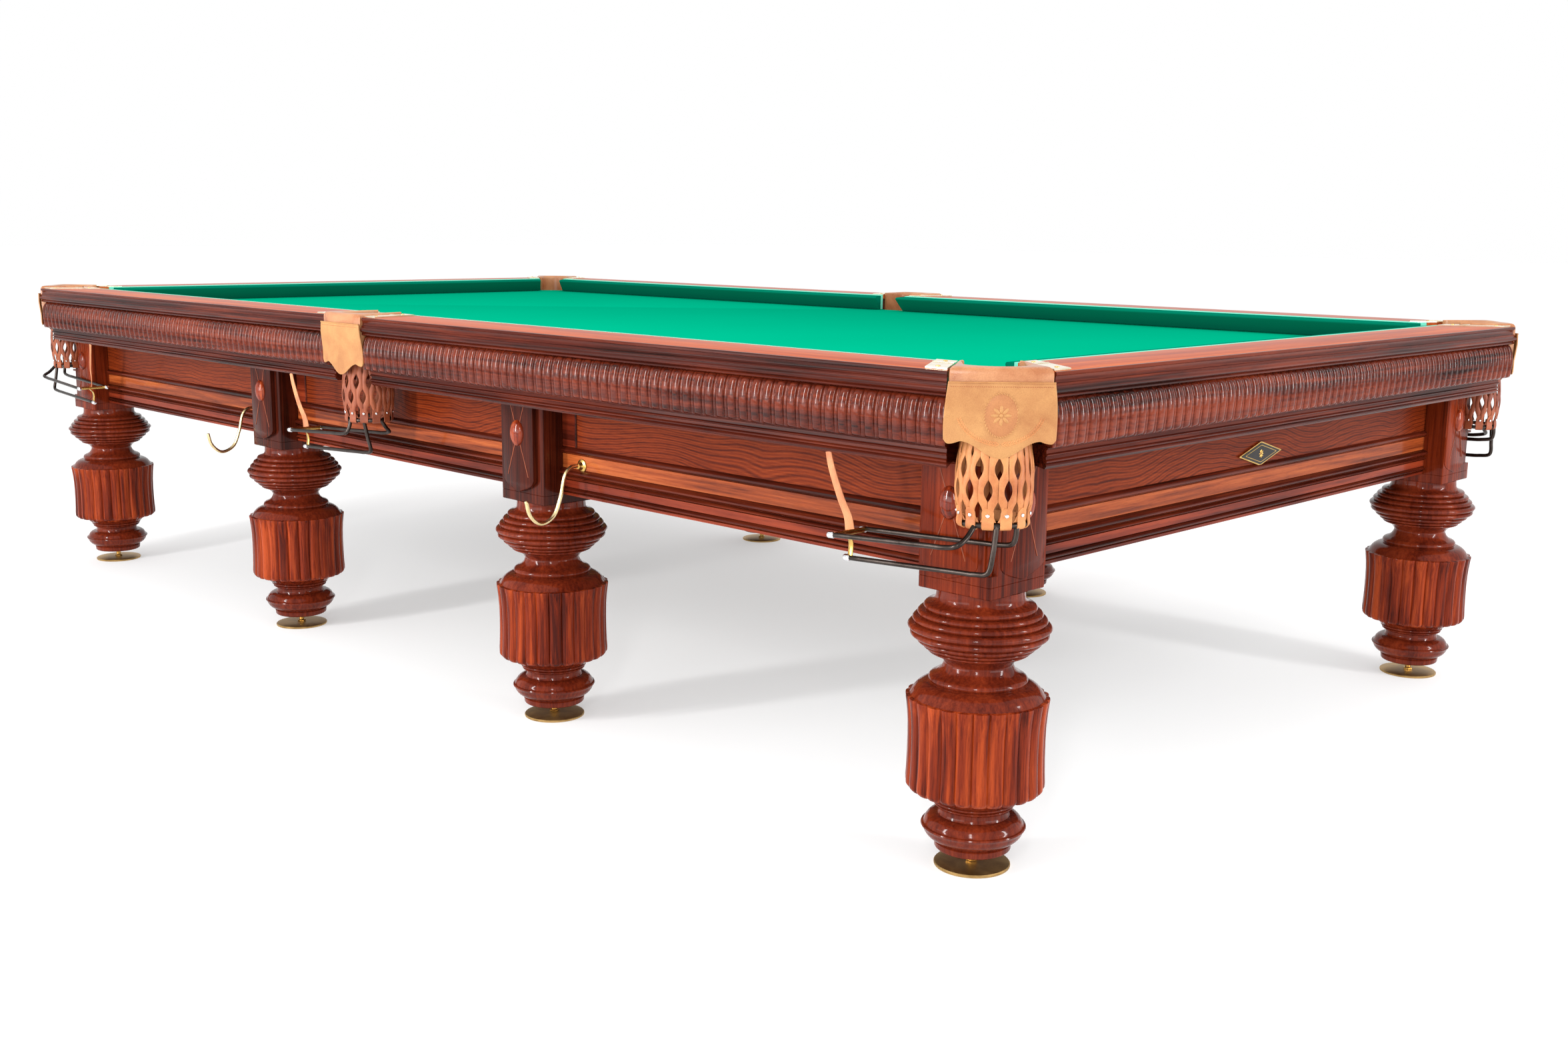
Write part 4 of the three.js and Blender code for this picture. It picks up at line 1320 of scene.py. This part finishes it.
def ribbon(name, path, axes, widths, thickness, finish):
    """A flat strap along a path, with the direction and the size of its width at each point."""
    path = np.asarray(path, float)
    rings = []
    for point, along, axis, width in zip(path, tangents(path), axes, widths):
        wide = np.asarray(axis, float) - along * np.dot(axis, along)
        wide /= np.linalg.norm(wide)
        deep = np.cross(along, wide)
        rings.append([point + a * width / 2 * wide + b * thickness / 2 * deep for a, b in RIBBON_SECTION])
    return loft(name, rings, finish, 45)


def rack_hoop(across, outwards, turn, centre):
    """The round bar, bent to an oval, that the net hangs on."""
    circle = []
    for a in turns(48):
        outward = np.array([math.cos(a), math.sin(a), 0])
        spot = np.array([across * math.cos(a), outwards * math.sin(a), HOOP_LEVEL])
        circle.append([spot + ROD_RADIUS * (math.cos(b) * outward + math.sin(b) * np.array([0, 0, 1]))
                       for b in turns(12)])
    spin = np.array([[math.cos(turn), -math.sin(turn), 0], [math.sin(turn), math.cos(turn), 0], [0, 0, 1]])
    circle = np.array(circle) @ spin.T + np.array([centre[0], centre[1], 0])
    faces = grid_faces(*circle.shape[:2], True, True)
    return mesh_object("hoop", circle.reshape(-1, 3), faces, rod_metal, 60)


def rack_rod(start, y, line, drop, run, tip_x):
    """A rod that comes down from the hoop and runs along the rail, and the cap on its tip."""
    elbow = start[0] + run * 4
    path = smooth_path([
        start,
        (start[0], (start[1] + y * line) / 2, HOOP_LEVEL - drop * 0.55),
        (elbow, y * line, HOOP_LEVEL - drop + 3),
        (elbow + run * 26, y * line, HOOP_LEVEL - drop - 3),
        (elbow + run * 60, y * line, HOOP_LEVEL - drop - 5),
        (tip_x, y * line, HOOP_LEVEL - drop - FALL),
    ], 8)
    step = tangents(path)[-1]
    cap = [path[-1] + step * reach for reach in CAP_REACHES]
    return [tube("rod", path, ROD_RADIUS, rod_metal), tube("cap", cap, CAP_RADIUS, chrome, 16)]


def rack_end(bar_x, y, run):
    """The bar and bracket near the rods' tips, and the leather strap that holds them up."""
    side_level = HOOP_LEVEL - SIDE_DROP - FALL
    low_level = HOOP_LEVEL - LOW_DROP - FALL
    bar = [(bar_x, y * (RACK_LINE + s * (RACK_HALF - 4)), side_level + 0.4) for s in np.linspace(-1, 1, 9)]
    bracket = smooth_path([
        (bar_x, y * (RACK_LINE + 7), side_level - 5), (bar_x, y * (RACK_LINE - 1), side_level - 14),
        (bar_x, y * (RACK_LINE - 3), side_level - 24), (bar_x, y * (RACK_LINE - 2), side_level - 34),
        (bar_x, y * RACK_LINE, low_level + 2),
    ], 6)
    strap = smooth_path([
        (bar_x + run * 42, y * (HALF_WIDTH - 36), STRAP_TOP), (bar_x + run * 36, y * (HALF_WIDTH - 37), 705),
        (bar_x + run * 16, y * (RACK_LINE + 8), 650), (bar_x + run * 4, y * (RACK_LINE + 2), 618),
        (bar_x, y * (RACK_LINE + 1), side_level + 5),
    ], 7)
    shares = np.arange(len(strap)) / len(strap)
    axes = [(1, 0.5 * y * run * share, 0) for share in shares]
    return [
        ribbon("bar", bar, [(0, 0, 1)] * len(bar), [BAR_WIDTH] * len(bar), BRASS_THICK, brass),
        ribbon("bracket", bracket, [(1, 0, 0)] * len(bracket), [BRACKET_WIDTH] * len(bracket), BRASS_THICK,
               brass),
        ribbon("strap", strap, axes, 13 + 4 * shares ** 2, STRAP_THICK, strap_leather),
    ]


def ball_rack(kind, x, y, run, matrix):
    """A pocket's hoop and the three rods that balls roll on, which run along the rail."""
    across, outwards = HOOP_HALF, HOOP_HALF * kind["net_depth"] / NET_DEPTH
    turn = math.atan2(-x, y)
    centre = np.array(matrix @ Vector((0, kind["net_middle"] * MM, 0))) / MM

    def hoop_point(dx, dy):
        """The point of the hoop that lies in a direction from its centre."""
        along = dx * math.cos(turn) + dy * math.sin(turn)
        out = dy * math.cos(turn) - dx * math.sin(turn)
        reach = 1 / math.hypot(along / across, out / outwards)
        return np.array([centre[0] + reach * dx, centre[1] + reach * dy, HOOP_LEVEL])

    tip_x = centre[0] + run * RACK_LENGTH
    diagonal = math.sqrt(0.5)
    rods = (
        (hoop_point(0, y), RACK_LINE + RACK_HALF, SIDE_DROP),
        (hoop_point(-run, 0), RACK_LINE - RACK_HALF, SIDE_DROP),
        (hoop_point(-run * diagonal, y * diagonal), RACK_LINE, LOW_DROP),
    )
    made = [rack_hoop(across, outwards, turn, centre)]
    for start, line, drop in rods:
        made += rack_rod(start, y, line, drop, run, tip_x)
    return [*made, *rack_end(tip_x - run * BAR_BACK, y, run)]


for pocket_name, kind, px, py, run in POCKETS:
    origin = Matrix.Translation((px * NOSE_X * MM, py * NOSE_Y * MM, 0))
    pocket_matrix = origin @ Matrix.Rotation(math.atan2(-px, py), 4, "Z")
    parts = [leather_roll(kind), leather_shield(kind), top_ridge(kind), *stitches(kind)]
    if kind is CORNER:
        parts += ornament(kind)
    leather_piece = move(join(f"tooled_pocket_{pocket_name}", parts), pocket_matrix)
    settle(leather_piece, "pocket_leather", f"pocket_leather_{pocket_name}")
    settle(pocket_plates(kind, pocket_name, px, py), "hook_brass")
    # Only the near corner's net keeps the lighter net leather; the others take the darker copy, as painted
    # shade.
    tanned = net_leather if pocket_name == "front_right" else shaded_net_leather
    net = move(join(f"strap_net_{pocket_name}", leather_net(kind, tanned)), pocket_matrix)
    settle(net, "net_leather", f"net_{pocket_name}")
    rack = join(f"rod_rack_{pocket_name}", ball_rack(kind, px, py, run, pocket_matrix))
    settle(rack, "rack_metal", f"ball_rack_{pocket_name}")


# ---- hooks and plate
HOOK_PATH = [(0, 0), (30, 0), (46, -14), (60, -62), (80, -102), (114, -114), (141, -92), (150, -62)]
HOOK_LEVEL = APRON_BOTTOM + 70
HOOK_X = MIDDLE_LEG_X + 145
ROSE_PROFILE = [(0, 0), (14, 0), (14.6, 1), (14, 2.2), (9, 4), (7, 8), (6.2, 12), (5, 13), (0, 13)]
PETAL_PROFILE = [(0, -0.4), (4.2, -0.4), (3.6, 0.3), (1.8, 0.8), (0, 0.9)]

for hook_side, hook_x in (("right", HOOK_X), ("left", -HOOK_X)):
    curve = smooth_path([(0, out + 1.5, HOOK_LEVEL + up) for out, up in HOOK_PATH], 8)
    stem = tube("stem", curve, 4.2, pale_brass, 16)
    on_strip = Matrix.Translation((0, 1.6 * MM, HOOK_LEVEL * MM)) @ Matrix.Rotation(-math.pi / 2, 4, "X")
    rose = move(lathe("rose", ROSE_PROFILE, 40, brass), on_strip)
    hook = join(f"cue_hook_{hook_side}", [stem, rose])
    spin = Matrix.Translation((hook_x * MM, -APRON_Y * MM, 0)) @ Matrix.Rotation(math.pi, 4, "Z")
    settle(move(hook, spin), "hook_brass", f"cue_rest_hook_{hook_side}")


def diamond_layer(name, half_width, half_height, low, high, finish):
    """A diamond with rounded corners, between two distances in front of the right apron."""
    corners = [(half_width, 0), (0, half_height), (-half_width, 0), (0, -half_height)]
    return prism(name, rounded(corners, 4, 10), low, high, finish,
                 lambda a, b, depth: np.stack([APRON_X + depth, a, PLATE_LEVEL + b], -1))


PLATE_LEVEL = (plate_low[2] + plate_high[2]) / 2
plate_half, plate_rise = (plate_high[1] - plate_low[1]) / 2, (plate_high[2] - plate_low[2]) / 2
plate_parts = [
    diamond_layer("rim", plate_half - 0.5, plate_rise - 0.3, 0.4, 4.6, brass),
    diamond_layer("enamel", plate_half - 9, plate_rise - 3, 4.62, 5.4, enamel),
    diamond_layer("line", plate_half - 24, plate_rise - 7.5, 5.42, 5.7, brass),
    diamond_layer("heart", plate_half - 28, plate_rise - 8.8, 5.72, 5.95, enamel),
]
plate_centre = Matrix.Translation(((APRON_X + 6.1) * MM, 0, PLATE_LEVEL * MM))
on_plate = plate_centre @ Matrix.Rotation(math.pi / 2, 4, "Y")
narrow = Matrix.Diagonal((1, 0.42, 1, 1))
for a in turns(8):
    petal = lathe("petal", PETAL_PROFILE, 20, brass)
    spin = Matrix.Rotation(a, 4, "Z") @ Matrix.Translation((5.4 * MM, 0, 0))
    plate_parts.append(move(petal, on_plate @ spin @ narrow))
settle(join("diamond_badge", plate_parts), "plate_enamel", "diamond_plate")


# ---- floor, light and camera
FLOOR_REACH = 60.0
FLOOR_SHADE, FLOOR_GLOW = 0.6, 0.4
floor_corners = [(x * FLOOR_REACH, y * FLOOR_REACH, 0) for x, y in ((-1, -1), (1, -1), (1, 1), (-1, 1))]
floor_data = bpy.data.meshes.new("studio_floor")
floor_data.from_pydata(floor_corners, [], [(0, 1, 2, 3)])
floor_finish = Finish("studio_floor", 0.9)
floor_finish.set("Base Color", (FLOOR_SHADE, FLOOR_SHADE, FLOOR_SHADE, 1))
floor_finish.set("Emission Color", (1, 1, 1, 1))
floor_finish.set("Emission Strength", FLOOR_GLOW)
floor_finish.set("Specular IOR Level", 0.2)
floor_data.materials.append(floor_finish.material)
floor = bpy.data.objects.new("studio_floor", floor_data)
bpy.context.scene.collection.objects.link(floor)

world = bpy.data.worlds.new("studio") if bpy.context.scene.world is None else bpy.context.scene.world
bpy.context.scene.world = world
world.use_nodes = True
background = world.node_tree.nodes["Background"]
background.inputs["Color"].default_value = (1, 1, 1, 1)
background.inputs["Strength"].default_value = 1.0


def softbox(name, place, target, size, power):
    """A white rectangular light that faces a target, in metres and watts."""
    data = bpy.data.lights.new(name, "AREA")
    data.shape = "RECTANGLE"
    data.size, data.size_y = size
    data.energy = power
    made = bpy.data.objects.new(name, data)
    made.location = place
    made.rotation_euler = (Vector(target) - Vector(place)).to_track_quat("-Z", "Y").to_euler()
    bpy.context.scene.collection.objects.link(made)


softbox("overhead", (0, 0, 3.6), (0, 0, 0), (5.0, 3.0), 60)
softbox("front_strip", (-0.6, -4.7, 1.9), (0.4, 0, 0.6), (0.4, 2.4), 150)
softbox("end_strip", (5.6, 1.2, 1.9), (0.8, 0, 0.6), (0.4, 2.4), 120)
softbox("corner_strip", (3.7, -3.9, 2.0), (1.4, -0.6, 0.6), (0.35, 1.8), 70)
softbox("low_front", (-0.5, -5.2, 0.9), (0, 0, 0.1), (6.0, 1.2), 80)
softbox("low_end", (6.2, 0, 0.9), (0, 0, 0.1), (4.0, 1.2), 55)

view = bpy.context.scene.view_settings
view.view_transform = "Standard"
view.look = "None"

CAMERA_PLACE = np.array([3.4291, -3.0550, 1.1162])
CAMERA_YAW, CAMERA_PITCH, CAMERA_ROLL = 2.348, 0.185, 0.011
FOCAL_SHARE = 1.0155
SENSOR_WIDTH = 36.0
level_share = math.cos(CAMERA_PITCH)
forward = np.array([level_share * math.cos(CAMERA_YAW), level_share * math.sin(CAMERA_YAW),
                    -math.sin(CAMERA_PITCH)])
rightward = np.array([math.sin(CAMERA_YAW), -math.cos(CAMERA_YAW), 0])
upward = np.cross(rightward, forward)
roll_cos, roll_sin = math.cos(CAMERA_ROLL), math.sin(CAMERA_ROLL)
camera_data = bpy.data.cameras.new("camera")
camera_data.sensor_width = SENSOR_WIDTH
camera_data.lens = SENSOR_WIDTH * FOCAL_SHARE
camera_data.clip_end = 200
camera = bpy.data.objects.new("camera", camera_data)
axes = np.eye(4)
axes[:3, 0] = roll_cos * rightward + roll_sin * upward
axes[:3, 1] = -roll_sin * rightward + roll_cos * upward
axes[:3, 2] = -forward
axes[:3, 3] = CAMERA_PLACE
camera.matrix_world = Matrix(axes.tolist())
bpy.context.scene.collection.objects.link(camera)
bpy.context.scene.camera = camera
